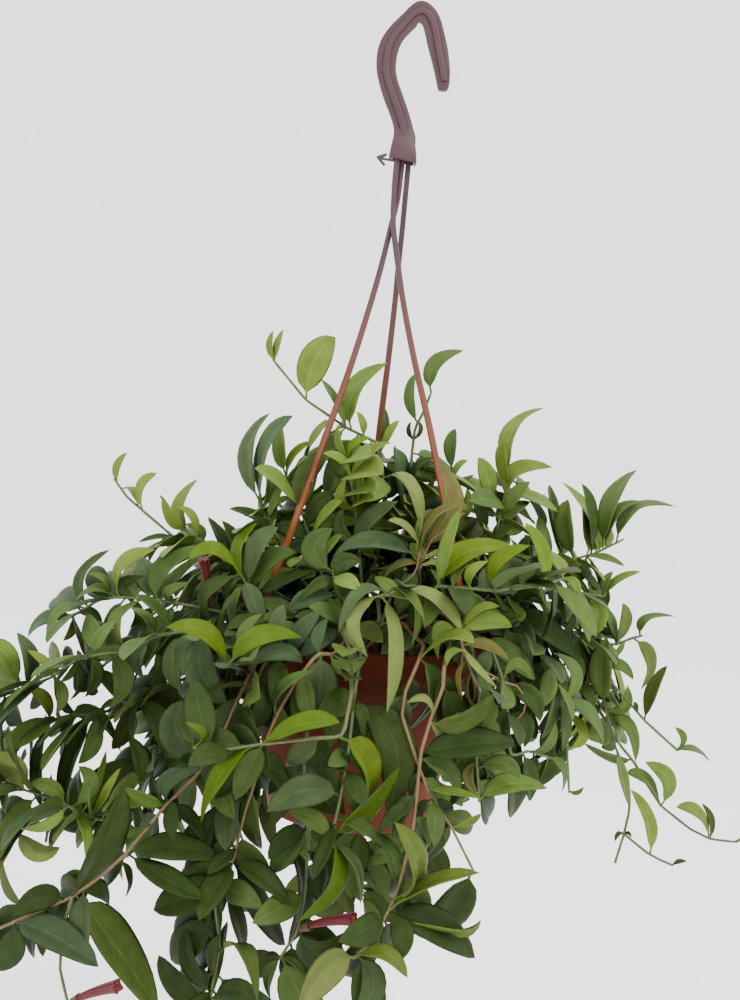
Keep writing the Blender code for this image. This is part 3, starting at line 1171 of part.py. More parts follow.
def build_pot(terracotta):
    pot = add_object("pot", turned(POT_PROFILE, POT_SIDES, RIM_Z), [terracotta])
    cutters = [slot_cutter(a) for a in STRAP_AZIMUTHS.values()] + [drain_cutter(i) for i in range(DRAIN_HOLES)]
    boolean(pot, add_cutters("pot_holes", cutters), "DIFFERENCE")
    return settle(pot)


def build_soil(peat, stems):
    soil = add_object("soil", turned(soil_profile(), POT_SIDES, RIM_Z), [peat])
    boolean(soil, add_cutters("pits", [pit_cutter(stem) for stem in stems]), "DIFFERENCE")
    return settle(soil)


def build_hook(plastic):
    hook = add_object("hook", hook_plate(HOOK_OUTER, HOOK_INNER), [plastic])
    spine = [Vector((x * MM, 0, z * MM)) for x, z in HOOK_SPINE]
    boolean(hook, add_cutters("hook_body", [hook_rib(spine), collar_block()]), "UNION")
    settle(hook)
    boolean(hook, add_cutters("hook_room", [box_between(**COLLAR_ROOM)]), "DIFFERENCE")
    return settle(hook)


def build_strap(name, plastic):
    strap = add_object("strap_" + name, strap_body(name), [plastic])
    parts = [strap_head(name)]
    if name == "right":
        parts.append(plate(ARROW, STRAP_TOPS[name][1] * MM, STRAP_THICKNESS))
    boolean(strap, add_cutters("strap_ends_" + name, parts), "UNION")
    return settle(strap)


def build_stem(stem, leaves, materials):
    shape = stem.shape()
    shape.kinds = [len(LEAF_COLOURS)] * len(shape.kinds)
    made = add_object(stem.name, shape, materials)
    grown = [leaf.shape() for leaf in leaves]
    grown += [tube(line, [STEM_TIP_RADIUS] * len(line), kind=len(LEAF_COLOURS)) for line in stem.twigs]
    if grown:
        boolean(made, add_cutters(stem.name + "_leaves", grown), "UNION")
        for helper in bpy.data.collections[stem.name + "_leaves"].objects:
            for found in materials:
                helper.data.materials.append(found)
        settle(made)
    return made


def build_bloom(name, shape, materials):
    return add_object(name, shape, materials)


def main():
    for old in list(bpy.data.objects):
        bpy.data.objects.remove(old)
    hanger = material("hanger_plastic", "8A5048", 0.42)
    build_hook(hanger)
    for name in STRAP_AZIMUTHS:
        build_strap(name, hanger)
    build_pot(material("pot_plastic", "8E4A32", 0.5))
    stems, leaves, blooms, _ = grow()
    build_soil(material("potting_soil", "2A221C", 0.95), stems)
    foliage = [material("leaf_%d" % kind, code, 0.42) for kind, code in LEAF_COLOURS.items()]
    foliage.append(material("stem_bark", "A08550", 0.7))
    for stem in stems:
        build_stem(stem, leaves[stem.name], foliage)
    petals = [material("bloom_cup", "5A3A2C", 0.6), material("bloom_red", "9E2028", 0.5),
              material("bloom_mouth", "C8482A", 0.5)]
    for name, shape in blooms.items():
        build_bloom(name, shape, petals)


if __name__ == "__main__":
    main()
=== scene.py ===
"""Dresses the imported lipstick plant: fine leaves, stems, pot, hook and straps, on a pale stage."""

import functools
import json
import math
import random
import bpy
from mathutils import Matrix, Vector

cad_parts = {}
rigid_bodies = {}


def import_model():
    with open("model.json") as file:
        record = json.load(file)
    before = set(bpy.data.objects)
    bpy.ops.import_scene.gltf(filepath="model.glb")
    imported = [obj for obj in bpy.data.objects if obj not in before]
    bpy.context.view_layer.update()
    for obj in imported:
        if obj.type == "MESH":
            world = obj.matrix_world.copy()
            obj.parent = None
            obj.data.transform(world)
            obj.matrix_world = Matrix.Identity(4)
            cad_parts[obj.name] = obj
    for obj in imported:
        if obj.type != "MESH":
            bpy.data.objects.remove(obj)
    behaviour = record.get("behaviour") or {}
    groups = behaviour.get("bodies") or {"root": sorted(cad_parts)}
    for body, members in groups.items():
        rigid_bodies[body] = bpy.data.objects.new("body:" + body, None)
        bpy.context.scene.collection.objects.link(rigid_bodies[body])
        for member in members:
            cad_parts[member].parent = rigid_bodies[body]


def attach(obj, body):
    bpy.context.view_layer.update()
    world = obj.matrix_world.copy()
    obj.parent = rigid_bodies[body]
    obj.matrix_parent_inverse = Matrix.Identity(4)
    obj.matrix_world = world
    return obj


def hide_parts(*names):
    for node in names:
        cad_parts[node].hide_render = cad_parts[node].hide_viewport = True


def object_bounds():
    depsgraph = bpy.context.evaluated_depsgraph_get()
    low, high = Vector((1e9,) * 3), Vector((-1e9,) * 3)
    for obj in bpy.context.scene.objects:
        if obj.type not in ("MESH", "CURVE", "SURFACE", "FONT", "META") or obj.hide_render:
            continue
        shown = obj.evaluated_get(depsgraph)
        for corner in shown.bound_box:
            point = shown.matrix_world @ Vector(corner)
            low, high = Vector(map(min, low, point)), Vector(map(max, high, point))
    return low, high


bl_info = {
    "name": "Lipstick Plant Basket",
    "version": (1, 0, 0),
    "blender": (4, 5, 0),
    "location": "View3D > Sidebar > Basket",
    "description": "Builds a trailing lipstick plant in its hanging pot around the packed frame",
    "category": "Add Mesh",
}

import bpy
from bpy.props import FloatProperty, FloatVectorProperty, IntProperty, PointerProperty
from mathutils import Matrix, Vector
from mathutils.bvhtree import BVHTree

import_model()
PACKED_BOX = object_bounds()

MM = 0.001

# Pot, 170 mm over its rim, turned from (radius, height under the rim) in mm
AXIS_X = -6 * MM
RIM_Z = -416 * MM
POT_PROFILE = (
    (0, -123.2), (48, -123.2), (49.5, -125), (57, -125), (77.6, -1.8), (83.2, -1.8), (83.6, -18), (85, -18),
    (84.6, 0), (76, 0), (55.4, -121.4), (0, -121.4),
)
POT_SIDES = 32
POT_EDGE_MM = 0.8
DRAIN_HOLES = 6
DRAIN_RADIUS = 4 * MM
DRAIN_CIRCLE = 34 * MM

# Soil, which rises a little to its middle, and the pits that the stems stand in
SOIL_DROP = 12 * MM
SOIL_RISE_MM = 2.4
SOIL_RADIUS_MM = 74
CRUMB_ROWS_MM = (0, 20, 40, 60, 71)
CRUMB_SIDES = 24
# Least and greatest turn of a crumb, in radians, and share of the crumb size, along each axis
CRUMB_TURNS = ((0, 0, 0), (6.3, 6.3, 6.3))
CRUMB_SHARES = ((0.5, 0.4, 0.35), (2.0, 1.4, 1.0))
PIT_DEPTH = 8 * MM
PIT_GAP = 0.3 * MM

# Hanger: one moulded hook and three straps. Sections are (half widths across, depth)
HOOK_PLATE = 6 * MM
HOOK_RIB = 9.4 * MM
HOOK_RIB_WIDTH = 4.5 * MM
STRAP_WIDTH = 3.8 * MM
STRAP_WIDENING = 2.2 * MM
STRAP_THICKNESS = 2.4 * MM
STRAP_RIDGE = 0.8 * MM
STRAP_EDGE = 0.35 * MM
PLAIN_SECTION = ((-1, 0), (1, 0), (1, STRAP_THICKNESS), (0, STRAP_THICKNESS + STRAP_RIDGE),
                 (-1, STRAP_THICKNESS))
HALF_SECTION_MM = ((0.85, 0), (0.95, 0.25), (1, 0.6), (1, 1.85), (0.925, 2.3), (0.55, 2.5), (0.25, 3.0))
STRAP_HEAD_MM = ((-4.5, 0.6), (-4.5, -0.8), (-1.6, -6.0), (1.6, -6.0), (4.5, -0.8), (4.5, 0.6))
SLOT_RADIUS = 80.5 * MM
SLOT_LENGTH = 6.6 * MM
SLOT_WIDTH = 3.8 * MM
STRAP_AZIMUTHS = {"left": 150, "right": 30, "back": 270}
# A small stud on the left strap, where it is seen
STUD = (312.5, 481)

# Stems and leaves
STEM_FOOT_RADIUS = 1.9 * MM
STEM_TIP_RADIUS = 1.1 * MM
STEM_CLEARANCE = 0.5 * MM
STEM_TRIES = 240
LEAF_CLEARANCE = 0.35 * MM
SLOT_COUNT = 56
# Plain leaves in rows of (share of the midrib, share of the width, keel in mm)
BIG_LEAF = ((0.17, 0.7, 1.1), (0.45, 1.0, 1.3), (0.76, 0.68, 1.1))
SMALL_LEAF = ((0.22, 0.82, 1.1), (0.6, 0.92, 1.1))
BIG_LEAF_LENGTH = 48 * MM
# Sideways turns, in radians, of a leaf that finds no room at first
TURNS = (0, 0.25, -0.25, 0.5, -0.5, 0.8, -0.8, 1.2, -1.2)
FILL_TURNS = (0, 0.4, -0.4, 0.8, -0.8, 1.2, -1.2)

# Flower: its plain rings as (share of its length, radius in mm), and the fine calyx, petals and throat as
# (such rows, sides, lobes of the edge, their depth in mm)
BLOOM_RINGS = ((0.0, 0.9), (0.07, 2.0), (0.24, 2.3), (0.26, 2.0), (0.6, 2.6), (0.88, 3.3), (1.0, 2.1))
BLOOM_PARTS = (
    (((0.0, 0.8), (0.03, 1.5), (0.1, 2.2), (0.2, 2.5), (0.27, 2.6), (0.3, 2.75), (0.3, 2.35), (0.24, 2.2)),
     20, 5, 0.8),
    (((0.2, 1.6), (0.3, 1.9), (0.45, 2.2), (0.6, 2.6), (0.75, 3.0), (0.86, 3.4), (0.93, 3.7), (0.985, 4.0),
      (1.0, 3.8), (0.985, 3.3), (0.9, 2.7), (0.8, 2.3)), 24, 4, 0.9),
    (((0.84, 1.2), (0.9, 2.2), (0.95, 2.5), (0.985, 2.2), (1.0, 1.2)), 16, 0, 0.0),
)

# The usual view of the basket: a picture 740 by 1000, which the routes of the stems are read in
VIEW_WIDTH, VIEW_HEIGHT = 740, 1000
VIEW_FOCUS = 1381.0
VIEW_EYE = Vector((-8 * MM, -950 * MM, -256 * MM))
VIEW_PITCH = math.radians(-4.1)
VIEW_ROLL = math.radians(-4.5)

# Stage: the lights as (name, place, size, share of the key light's power)
LIGHTS = (("key", (1.0, -1.2, 1.2), 1.1, 1.0), ("fill", (-1.5, -1.2, 0.1), 1.4, 0.3))
LIGHTS_AIM = (0, 0, -0.35)
DAYLIGHT = 2.3
FLOOR_SPAN = 30.0

# The kinds of leaf: young yellow-green, light, middle, dark (painted shade, for the leaves in the shade), old
# grey-glossy (a grey partly the old leaves' own and partly painted sheen), pale underside, dried
LEAF_KINDS = ("young", "light", "middle", "dark", "glossy", "pale", "dried")
YOUNG, LIGHT, MIDDLE, DARK, GLOSSY, PALE, DRIED = range(7)
Y, L, M, D, G, P, O = range(7)

# Each stem: its foot as (azimuth in degrees, radius in mm) about the pot's axis, with 0 at +X and 90 to
# the viewer; its route as (x, y, mm before the pot's axis) in the usual view; and its leaves as base,
# middle and tip of the midrib, the width that shows, and the kind, in the same picture.
STEMS = (
    # Runner arching up to the left above the mound
    ((100, 20), ((376, 560, 5), (385, 500, 6), (380, 444, 8), (347, 428, 9), (306, 400, 7), (274, 361, 5)), (
        (274, 361, 269, 346, 273, 330, 7, L), (275, 361, 277, 345, 283, 329, 7, L),
        (306, 400, 314, 362, 336, 337, 32, L), (346, 428, 337, 402, 321, 378, 9, M),
        (352, 430, 353, 390, 388, 362, 18, L), (363, 436, 363, 423, 357, 411, 8, L),
        (381, 443, 386, 425, 385, 407, 8, D), (384, 449, 390, 432, 399, 420, 9, L),
        (385, 500, 393, 487, 388, 468, 12, D), (386, 478, 414, 484, 421, 530, 7, P),
    )),
    # Shoot up to the right of the middle
    ((60, 25), ((403, 560, 0), (409, 490, 0), (412, 453, -5), (415, 428, -5), (424, 411, -5),
                (431, 393, -5)), (
        (431, 393, 434, 364, 464, 350, 15, M), (417, 424, 409, 398, 415, 373, 11, M),
        (413, 441, 408, 431, 411, 421, 5, D), (414, 441, 421, 431, 419, 421, 5, D),
        (411, 456, 411, 468, 406, 481, 8, D), (410, 484, 416, 466, 434, 457, 8, D),
        (409, 500, 425, 492, 436, 476, 8, L), (406, 530, 402, 470, 396, 447, 16, G),
    )),
    # Right of the strap
    ((40, 35), ((438, 580, 0), (446, 520, -5), (452, 472, -10)), (
        (452, 472, 450, 445, 455, 428, 13, M), (451, 482, 457, 466, 468, 460, 7, L),
        (450, 492, 464, 481, 474, 474, 4, D), (447, 515, 466, 510, 467, 487, 12, L),
        (442, 545, 466, 530, 478, 517, 8, M),
    )),
    # Tall shoot of the right cluster
    ((20, 45), ((470, 600, 10), (489, 560, 10), (498, 525, 10), (505, 495, 5), (511, 478, 0)), (
        (511, 478, 509, 432, 545, 407, 14, L), (507, 488, 501, 462, 503, 441, 12, L),
        (503, 499, 515, 470, 553, 467, 15, L), (500, 518, 514, 496, 530, 481, 14, M),
        (498, 530, 514, 510, 530, 501, 13, M), (493, 545, 500, 533, 512, 527, 9, M),
    )),
    ((30, 55), ((462, 600, 0), (480, 555, -5), (489, 510, -10), (490, 498, -12)), (
        (490, 503, 488, 478, 478, 457, 18, L), (485, 532, 482, 515, 473, 503, 12, M),
        (478, 562, 468, 548, 470, 530, 10, M),
    )),
    # Right shoulder
    ((10, 50), ((500, 605, 0), (530, 580, -5), (560, 563, -10), (596, 553, -15), (622, 540, -15)), (
        (566, 561, 556, 515, 551, 485, 9, D), (572, 559, 563, 525, 568, 499, 19, M),
        (594, 553, 594, 520, 562, 481, 13, L), (590, 554, 592, 515, 582, 483, 10, D),
        (604, 550, 611, 500, 637, 469, 17, M), (606, 549, 613, 515, 640, 500, 12, M),
        (614, 544, 634, 508, 676, 506, 8, M), (588, 555, 606, 557, 625, 566, 7, M),
        (588, 556, 578, 572, 558, 578, 20, M), (574, 560, 590, 578, 601, 592, 8, D),
        (550, 568, 544, 540, 540, 515, 15, M), (538, 575, 524, 552, 530, 535, 14, D),
    )),
    # Bright young shoot before the right side
    ((55, 50), ((425, 600, 70), (437, 586, 95), (462, 588, 100), (495, 591, 102), (545, 585, 95),
                (565, 578, 85)), (
        (438, 587, 462, 553, 514, 546, 23, Y), (495, 591, 496, 562, 530, 545, 16, Y),
        (545, 585, 543, 550, 525, 522, 15, Y), (470, 589, 470, 572, 488, 561, 11, L),
        (521, 588, 528, 570, 545, 556, 16, D), (562, 579, 575, 584, 577, 602, 10, L),
        (470, 589, 480, 605, 500, 612, 14, M),
    )),
    # Small shoot to the right
    ((5, 60), ((520, 600, 20), (545, 590, 20), (575, 592, 10), (603, 596, 0)), (
        (603, 596, 605, 582, 613, 571, 9, M), (604, 596, 618, 579, 641, 571, 8, L),
        (545, 590, 527, 592, 509, 604, 11, D), (560, 591, 560, 606, 566, 622, 10, D),
    )),
    ((350, 55), ((540, 612, 10), (565, 626, 5), (584, 642, 0), (597, 668, 0), (605, 705, 0), (616, 748, 0)), (
        (584, 642, 598, 615, 582, 597, 20, L), (604, 704, 600, 668, 607, 637, 24, M),
        (606, 708, 625, 705, 627, 685, 12, L), (598, 670, 618, 664, 634, 680, 12, M),
        (607, 712, 617, 725, 620, 746, 10, M), (608, 718, 630, 728, 636, 762, 13, M),
        (585, 643, 600, 636, 607, 640, 5, D),
        (644, 719, 652, 690, 667, 665, 13, M), (640, 713, 637, 706, 634, 702, 5, D),
        (677, 750, 684, 738, 675, 727, 7, M), (677, 751, 695, 749, 711, 762, 6, M),
        (612, 752, 621, 775, 629, 806, 10, M), (650, 854, 649, 820, 631, 789, 13, L),
        (624, 834, 618, 834, 615, 842, 5, D), (672, 865, 679, 861, 687, 861, 5, D),
        (625, 834, 629, 833, 631, 838, 4, D),
    )),
    # Long trail on the right
    ((340, 45), ((545, 640, -10), (580, 680, -20), (602, 715, -25), (620, 745, -30), (634, 762, -30),
                 (661, 806, -35), (690, 829, -35), (710, 839, -35), (735, 842, -35)), (
        (633, 761, 612, 758, 583, 743, 9, M), (661, 805, 668, 778, 645, 762, 16, L),
        (660, 805, 646, 778, 626, 773, 11, M), (709, 839, 698, 812, 676, 807, 11, L),
        (711, 839, 712, 820, 702, 803, 7, D), (602, 715, 588, 700, 582, 680, 10, D),
        (585, 688, 600, 695, 612, 700, 8, D), (735, 842, 738, 841, 742, 838, 3, M),
    )),
    # Spray at the far right
    ((0, 50), ((540, 615, -15), (575, 628, -25), (597, 643, -30), (615, 645, -30), (632, 638, -30),
               (641, 636, -30)), (
        (640, 637, 646, 618, 676, 616, 8, M), (615, 645, 626, 622, 623, 603, 12, M),
        (618, 644, 612, 620, 601, 604, 9, M), (617, 644, 604, 620, 590, 627, 6, D),
        (633, 638, 651, 660, 641, 690, 12, M), (626, 641, 620, 650, 612, 659, 6, M),
        (600, 644, 594, 655, 596, 672, 8, D),
    )),
    ((20, 62), ((530, 640, 60), (552, 670, 60), (562, 700, 55), (567, 725, 50), (567, 750, 50),
                (569, 791, 45)), (
        (567, 750, 584, 733, 564, 710, 11, L), (569, 791, 577, 793, 584, 787, 5, M),
        (562, 698, 590, 712, 604, 745, 14, M), (553, 672, 556, 705, 541, 740, 12, G),
        (563, 703, 577, 675, 556, 653, 13, M), (565, 715, 548, 740, 557, 762, 18, D),
        (545, 660, 528, 680, 520, 700, 14, D), (567, 735, 558, 745, 556, 758, 7, D),
    )),
    # Trail in the shade on the right of the pot
    ((45, 60), ((488, 640, 95), (503, 680, 105), (508, 715, 105), (510, 757, 95), (528, 751, 85),
                (548, 757, 75)), (
        (548, 757, 564, 768, 562, 793, 8, M), (508, 715, 526, 722, 524, 748, 16, D),
        (505, 700, 500, 730, 515, 742, 20, D), (504, 688, 530, 695, 540, 722, 20, D),
        (502, 678, 516, 662, 532, 680, 12, M), (530, 751, 548, 745, 556, 722, 10, M),
        (548, 757, 542, 770, 537, 785, 4, L),
    )),
    # Long trail before the right half of the pot
    ((80, 60), ((424, 645, 102), (418, 662, 118), (405, 692, 126), (402, 716, 132), (413, 750, 138),
                (426, 786, 142), (440, 810, 142), (452, 828, 142), (473, 870, 138)), (
        (420, 657, 435, 692, 403, 735, 12, M), (413, 757, 467, 744, 515, 742, 31, D),
        (414, 760, 446, 768, 460, 797, 20, M), (428, 788, 452, 790, 482, 798, 9, L),
        (452, 828, 470, 822, 482, 814, 8, L), (451, 827, 447, 834, 447, 843, 8, G),
        (443, 815, 440, 842, 420, 862, 14, D), (420, 657, 452, 634, 474, 643, 10, L),
        (432, 798, 418, 815, 422, 845, 9, M),
    )),
    # Woody trail that ends under the middle
    ((62, 62), ((450, 642, 104), (444, 668, 118), (443, 688, 124), (431, 718, 132), (421, 752, 138),
                (417, 790, 142),
                (413, 830, 148), (398, 890, 155), (388, 912, 158), (370, 943, 162), (355, 957, 164)), (
        (432, 722, 465, 722, 495, 693, 21, M), (433, 715, 425, 698, 407, 703, 8, P),
        (431, 724, 438, 730, 446, 742, 8, P), (393, 902, 420, 868, 395, 822, 15, L),
        (397, 892, 393, 855, 366, 829, 18, M), (390, 908, 430, 882, 480, 872, 13, L),
        (388, 912, 435, 925, 476, 958, 36, D), (385, 918, 402, 935, 396, 963, 24, D),
        (386, 917, 450, 935, 482, 920, 9, L), (356, 957, 386, 952, 408, 978, 17, L),
        (355, 958, 330, 968, 297, 1015, 34, P), (357, 956, 374, 985, 350, 1020, 26, G),
        (416, 800, 400, 815, 392, 838, 12, M),
    )),
    ((50, 60), ((470, 640, 108), (480, 690, 120), (476, 750, 126), (479, 800, 128)), (
        (480, 800, 508, 783, 548, 788, 21, L), (478, 760, 468, 775, 478, 797, 12, O),
        (477, 757, 494, 765, 500, 787, 14, M), (478, 770, 505, 763, 520, 780, 16, M),
        (476, 748, 452, 752, 448, 775, 10, P), (480, 700, 492, 712, 480, 730, 14, M),
        (478, 785, 460, 790, 450, 808, 12, M),
    )),
    # Part-dried shoot hanging over the rim on the right
    ((58, 45), ((458, 625, 98), (462, 645, 110), (470, 668, 116), (480, 690, 116)), (
        (463, 644, 486, 644, 510, 660, 12, O), (464, 652, 478, 668, 497, 689, 5, P),
        (462, 650, 450, 652, 447, 666, 9, L), (460, 636, 440, 628, 438, 660, 14, L),
        (460, 633, 486, 620, 513, 627, 20, L), (459, 629, 478, 608, 500, 606, 9, L),
        (472, 672, 466, 690, 474, 708, 4, O), (466, 660, 458, 675, 462, 700, 5, O),
    )),
    # Dull shoot before the middle, with the curled pale leaves
    ((82, 30), ((420, 600, 50), (419, 570, 68), (418, 545, 72), (421, 525, 72)), (
        (418, 559, 372, 540, 332, 557, 18, G), (419, 545, 405, 524, 388, 521, 6, P),
        (419, 556, 438, 552, 443, 543, 6, P), (420, 560, 430, 520, 463, 503, 3, O),
        (420, 550, 452, 508, 438, 462, 22, O), (421, 530, 418, 490, 396, 473, 8, P),
        (418, 563, 400, 563, 383, 578, 8, O), (419, 567, 440, 563, 443, 580, 6, P),
    )),
    ((95, 50), ((400, 612, 82), (402, 590, 100), (392, 588, 104), (381, 597, 106)), (
        (403, 590, 440, 597, 462, 633, 14, P), (386, 592, 358, 592, 338, 633, 13, G),
        (384, 594, 350, 618, 368, 657, 18, P), (382, 597, 399, 645, 386, 713, 12, P),
        (382, 599, 424, 603, 418, 655, 12, M), (390, 589, 408, 592, 425, 620, 9, M),
    )),
    # Woody trail from the brown knot on the rim, down the left of the pot
    ((102, 60), ((348, 638, 98), (334, 655, 108), (318, 653, 116), (300, 676, 122), (279, 710, 128),
                 (265, 742, 132),
                 (256, 778, 135), (245, 812, 138), (233, 860, 140), (224, 892, 142)), (
        (320, 655, 320, 688, 316, 716, 36, G), (330, 657, 345, 670, 367, 657, 15, M),
        (321, 652, 318, 636, 328, 618, 14, G), (276, 716, 280, 688, 313, 670, 10, M),
        (253, 786, 249, 820, 261, 850, 21, M), (224, 892, 240, 893, 263, 909, 26, M),
        (224, 893, 240, 925, 243, 955, 16, D), (233, 862, 262, 876, 291, 904, 22, D),
        (233, 862, 258, 905, 286, 945, 26, D), (236, 850, 222, 846, 206, 862, 12, D),
        (262, 755, 275, 762, 285, 790, 14, D),
    )),
    # Green runner across the front, with bright leaves
    ((88, 64), ((350, 648, 108), (352, 692, 140), (343, 737, 156), (315, 738, 162), (290, 741, 165),
                (256, 745, 166),
                (225, 750, 162), (195, 748, 158)), (
        (338, 742, 370, 764, 362, 815, 22, Y), (259, 744, 302, 722, 340, 722, 20, Y),
        (252, 746, 218, 776, 200, 823, 18, Y), (196, 748, 204, 733, 185, 722, 7, Y),
    )),
    # Long woody trail to the lower left
    ((150, 62), ((262, 650, 80), (238, 700, 110), (215, 752, 128), (195, 777, 138), (165, 806, 148),
                 (127, 853, 158),
                 (72, 897, 168), (14, 922, 172), (-45, 948, 172)), (
        (208, 762, 178, 735, 182, 700, 37, G), (168, 804, 168, 780, 203, 768, 19, G),
        (164, 808, 190, 818, 206, 845, 15, D), (166, 806, 145, 800, 125, 788, 14, L),
        (128, 853, 175, 846, 222, 858, 29, D), (127, 854, 170, 880, 205, 898, 24, D),
        (120, 860, 130, 878, 126, 898, 7, D), (72, 896, 106, 845, 124, 787, 29, D),
        (79, 893, 96, 887, 110, 905, 20, D), (68, 899, 42, 897, 13, 917, 26, D),
        (77, 896, 118, 945, 160, 1012, 40, M), (16, 922, 57, 935, 99, 967, 34, G),
        (14, 923, 12, 948, -12, 970, 30, D), (-45, 948, -65, 972, -98, 985, 22, D),
        (-45, 948, -72, 935, -106, 938, 22, M),
    )),
    # Twig to the bright pair on the left of the rim
    ((130, 60), ((300, 642, 90), (268, 660, 112), (243, 663, 124), (228, 667, 130)), (
        (228, 667, 258, 636, 302, 637, 21, Y), (227, 667, 206, 632, 166, 627, 19, Y),
        (249, 662, 278, 651, 303, 663, 20, G), (245, 663, 243, 634, 262, 613, 14, M),
        (276, 655, 276, 628, 284, 604, 20, G), (284, 652, 300, 632, 320, 610, 20, G),
    )),
    # Long twig to the left edge
    ((160, 60), ((250, 640, 55), (215, 630, 72), (178, 632, 84), (155, 636, 88), (128, 652, 90),
                 (105, 653, 90),
                 (78, 659, 86), (50, 678, 80), (22, 688, 76), (-8, 700, 70)), (
        (188, 633, 172, 662, 182, 692, 21, G), (208, 631, 202, 672, 228, 703, 33, G),
        (152, 638, 136, 657, 144, 679, 15, G), (128, 652, 117, 636, 121, 618, 8, M),
        (153, 636, 148, 618, 130, 607, 10, M), (97, 653, 98, 638, 116, 620, 14, M),
        (90, 655, 97, 675, 85, 698, 13, D), (78, 660, 72, 673, 61, 682, 8, D),
        (76, 661, 82, 682, 70, 701, 8, D), (108, 653, 124, 678, 112, 706, 22, D),
        (52, 677, 44, 662, 28, 650, 10, L), (52, 677, 62, 695, 57, 713, 13, M),
        (27, 686, 45, 698, 50, 718, 14, L), (24, 688, 31, 660, 17, 632, 17, G),
        (18, 690, 5, 652, -22, 646, 20, L), (-8, 700, -30, 690, -50, 700, 14, L),
        (-8, 700, -22, 715, -26, 738, 14, M),
    )),
    # Upper woody twig on the left
    ((168, 55), ((258, 612, 40), (225, 613, 50), (198, 607, 55), (157, 600, 60), (118, 597, 60),
                 (98, 600, 58),
                 (86, 608, 56), (73, 616, 52)), (
        (156, 600, 162, 568, 206, 545, 18, M), (118, 597, 121, 564, 155, 549, 12, L),
        (115, 597, 97, 587, 75, 600, 8, M), (110, 597, 105, 579, 88, 573, 7, M),
        (86, 606, 79, 576, 110, 549, 10, D), (85, 608, 60, 610, 46, 637, 10, M),
        (75, 616, 45, 618, 27, 637, 13, G), (74, 616, 73, 630, 63, 641, 9, M),
        (76, 615, 92, 613, 103, 629, 11, M), (73, 616, 79, 635, 84, 654, 3, D),
        (138, 599, 122, 585, 145, 576, 13, D), (180, 603, 168, 592, 190, 582, 10, M),
        (130, 598, 140, 612, 130, 628, 10, D), (200, 607, 190, 622, 174, 630, 12, D),
    )),
    # Bright shoot at the left of the mound
    ((140, 50), ((275, 608, 50), (252, 592, 60), (239, 572, 66)), (
        (240, 577, 236, 547, 257, 522, 12, Y), (238, 573, 213, 548, 188, 560, 14, Y),
        (240, 575, 205, 592, 212, 622, 14, D), (243, 580, 254, 602, 265, 635, 20, G),
        (240, 577, 228, 583, 225, 602, 12, D), (247, 587, 254, 548, 278, 527, 20, G),
        (258, 597, 282, 580, 311, 571, 13, D), (252, 592, 268, 560, 296, 552, 18, D),
    )),
    # Tall leaves at the upper left
    ((130, 35), ((310, 592, 20), (287, 550, 20), (267, 522, 20), (260, 503, 20)), (
        (260, 503, 246, 452, 270, 412, 15, G), (261, 504, 263, 448, 293, 415, 11, G),
        (262, 507, 272, 485, 262, 463, 12, M), (268, 523, 276, 497, 284, 483, 9, M),
        (270, 526, 250, 513, 229, 508, 10, D), (280, 540, 258, 532, 236, 532, 14, D),
    )),
    ((115, 30), ((330, 600, 26), (313, 550, 20), (303, 515, 16), (293, 492, 12), (285, 473, 8)), (
        (285, 474, 279, 450, 281, 423, 14, L), (286, 475, 293, 454, 312, 441, 8, Y),
        (303, 515, 304, 480, 320, 451, 25, M), (301, 510, 280, 481, 255, 468, 13, L),
        (300, 507, 313, 497, 326, 483, 8, L), (307, 528, 318, 505, 335, 492, 20, D),
        (310, 540, 290, 528, 272, 530, 16, D), (314, 552, 296, 548, 284, 565, 16, D),
    )),
    # Bright shoot at the middle of the mound
    ((100, 10), ((362, 585, 25), (358, 530, 30), (352, 490, 30), (347, 459, 25)), (
        (347, 459, 338, 442, 338, 425, 8, L), (348, 460, 354, 443, 370, 438, 8, Y),
        (350, 475, 340, 458, 323, 453, 9, L), (353, 500, 342, 480, 326, 469, 6, D),
        (357, 518, 362, 462, 392, 442, 15, L), (355, 512, 340, 500, 346, 478, 11, L),
        (357, 520, 362, 506, 378, 505, 10, Y), (360, 548, 366, 520, 398, 501, 18, G),
        (360, 545, 340, 530, 344, 508, 14, M),
    )),
    ((105, 45), ((347, 612, 68), (336, 590, 84), (333, 572, 90)), (
        (333, 573, 314, 550, 333, 528, 27, D), (334, 578, 343, 562, 362, 562, 20, D),
        (333, 575, 312, 562, 298, 562, 12, D), (336, 590, 322, 582, 300, 602, 14, D),
        (340, 600, 345, 612, 343, 633, 18, G), (338, 596, 308, 598, 290, 612, 20, G),
    )),
    # Large dark leaves over the front of the pot
    ((92, 66), ((362, 646, 106), (354, 700, 132), (346, 770, 150), (331, 840, 160)), (
        (333, 838, 366, 812, 400, 768, 18, Y), (343, 795, 305, 790, 267, 812, 33, G),
        (332, 838, 314, 818, 288, 812, 20, M), (330, 842, 338, 882, 298, 922, 17, Y),
        (332, 841, 356, 865, 361, 905, 8, M), (345, 768, 364, 785, 374, 818, 26, D),
        (354, 700, 352, 735, 372, 768, 30, G), (354, 698, 396, 745, 386, 812, 42, D),
        (338, 822, 325, 850, 312, 880, 16, D),
    )),
    # Long trail under the front, to the red flower
    ((112, 66), ((322, 650, 108), (312, 700, 128), (304, 770, 138), (308, 830, 144), (306, 885, 148),
                 (298, 930, 150),
                 (281, 957, 152)), (
        (282, 956, 306, 895, 287, 842, 19, D), (283, 957, 296, 962, 306, 978, 9, M),
        (280, 957, 271, 953, 262, 958, 5, D), (299, 928, 322, 948, 350, 930, 15, D),
        (306, 885, 326, 868, 330, 840, 16, D), (308, 832, 286, 838, 268, 860, 20, D),
        (304, 775, 286, 775, 268, 795, 18, D), (305, 765, 322, 752, 330, 735, 18, D),
        (281, 958, 268, 975, 270, 1000, 12, M), (307, 850, 320, 866, 318, 905, 14, D),
    )),
    # Trail to the bottom left of the middle
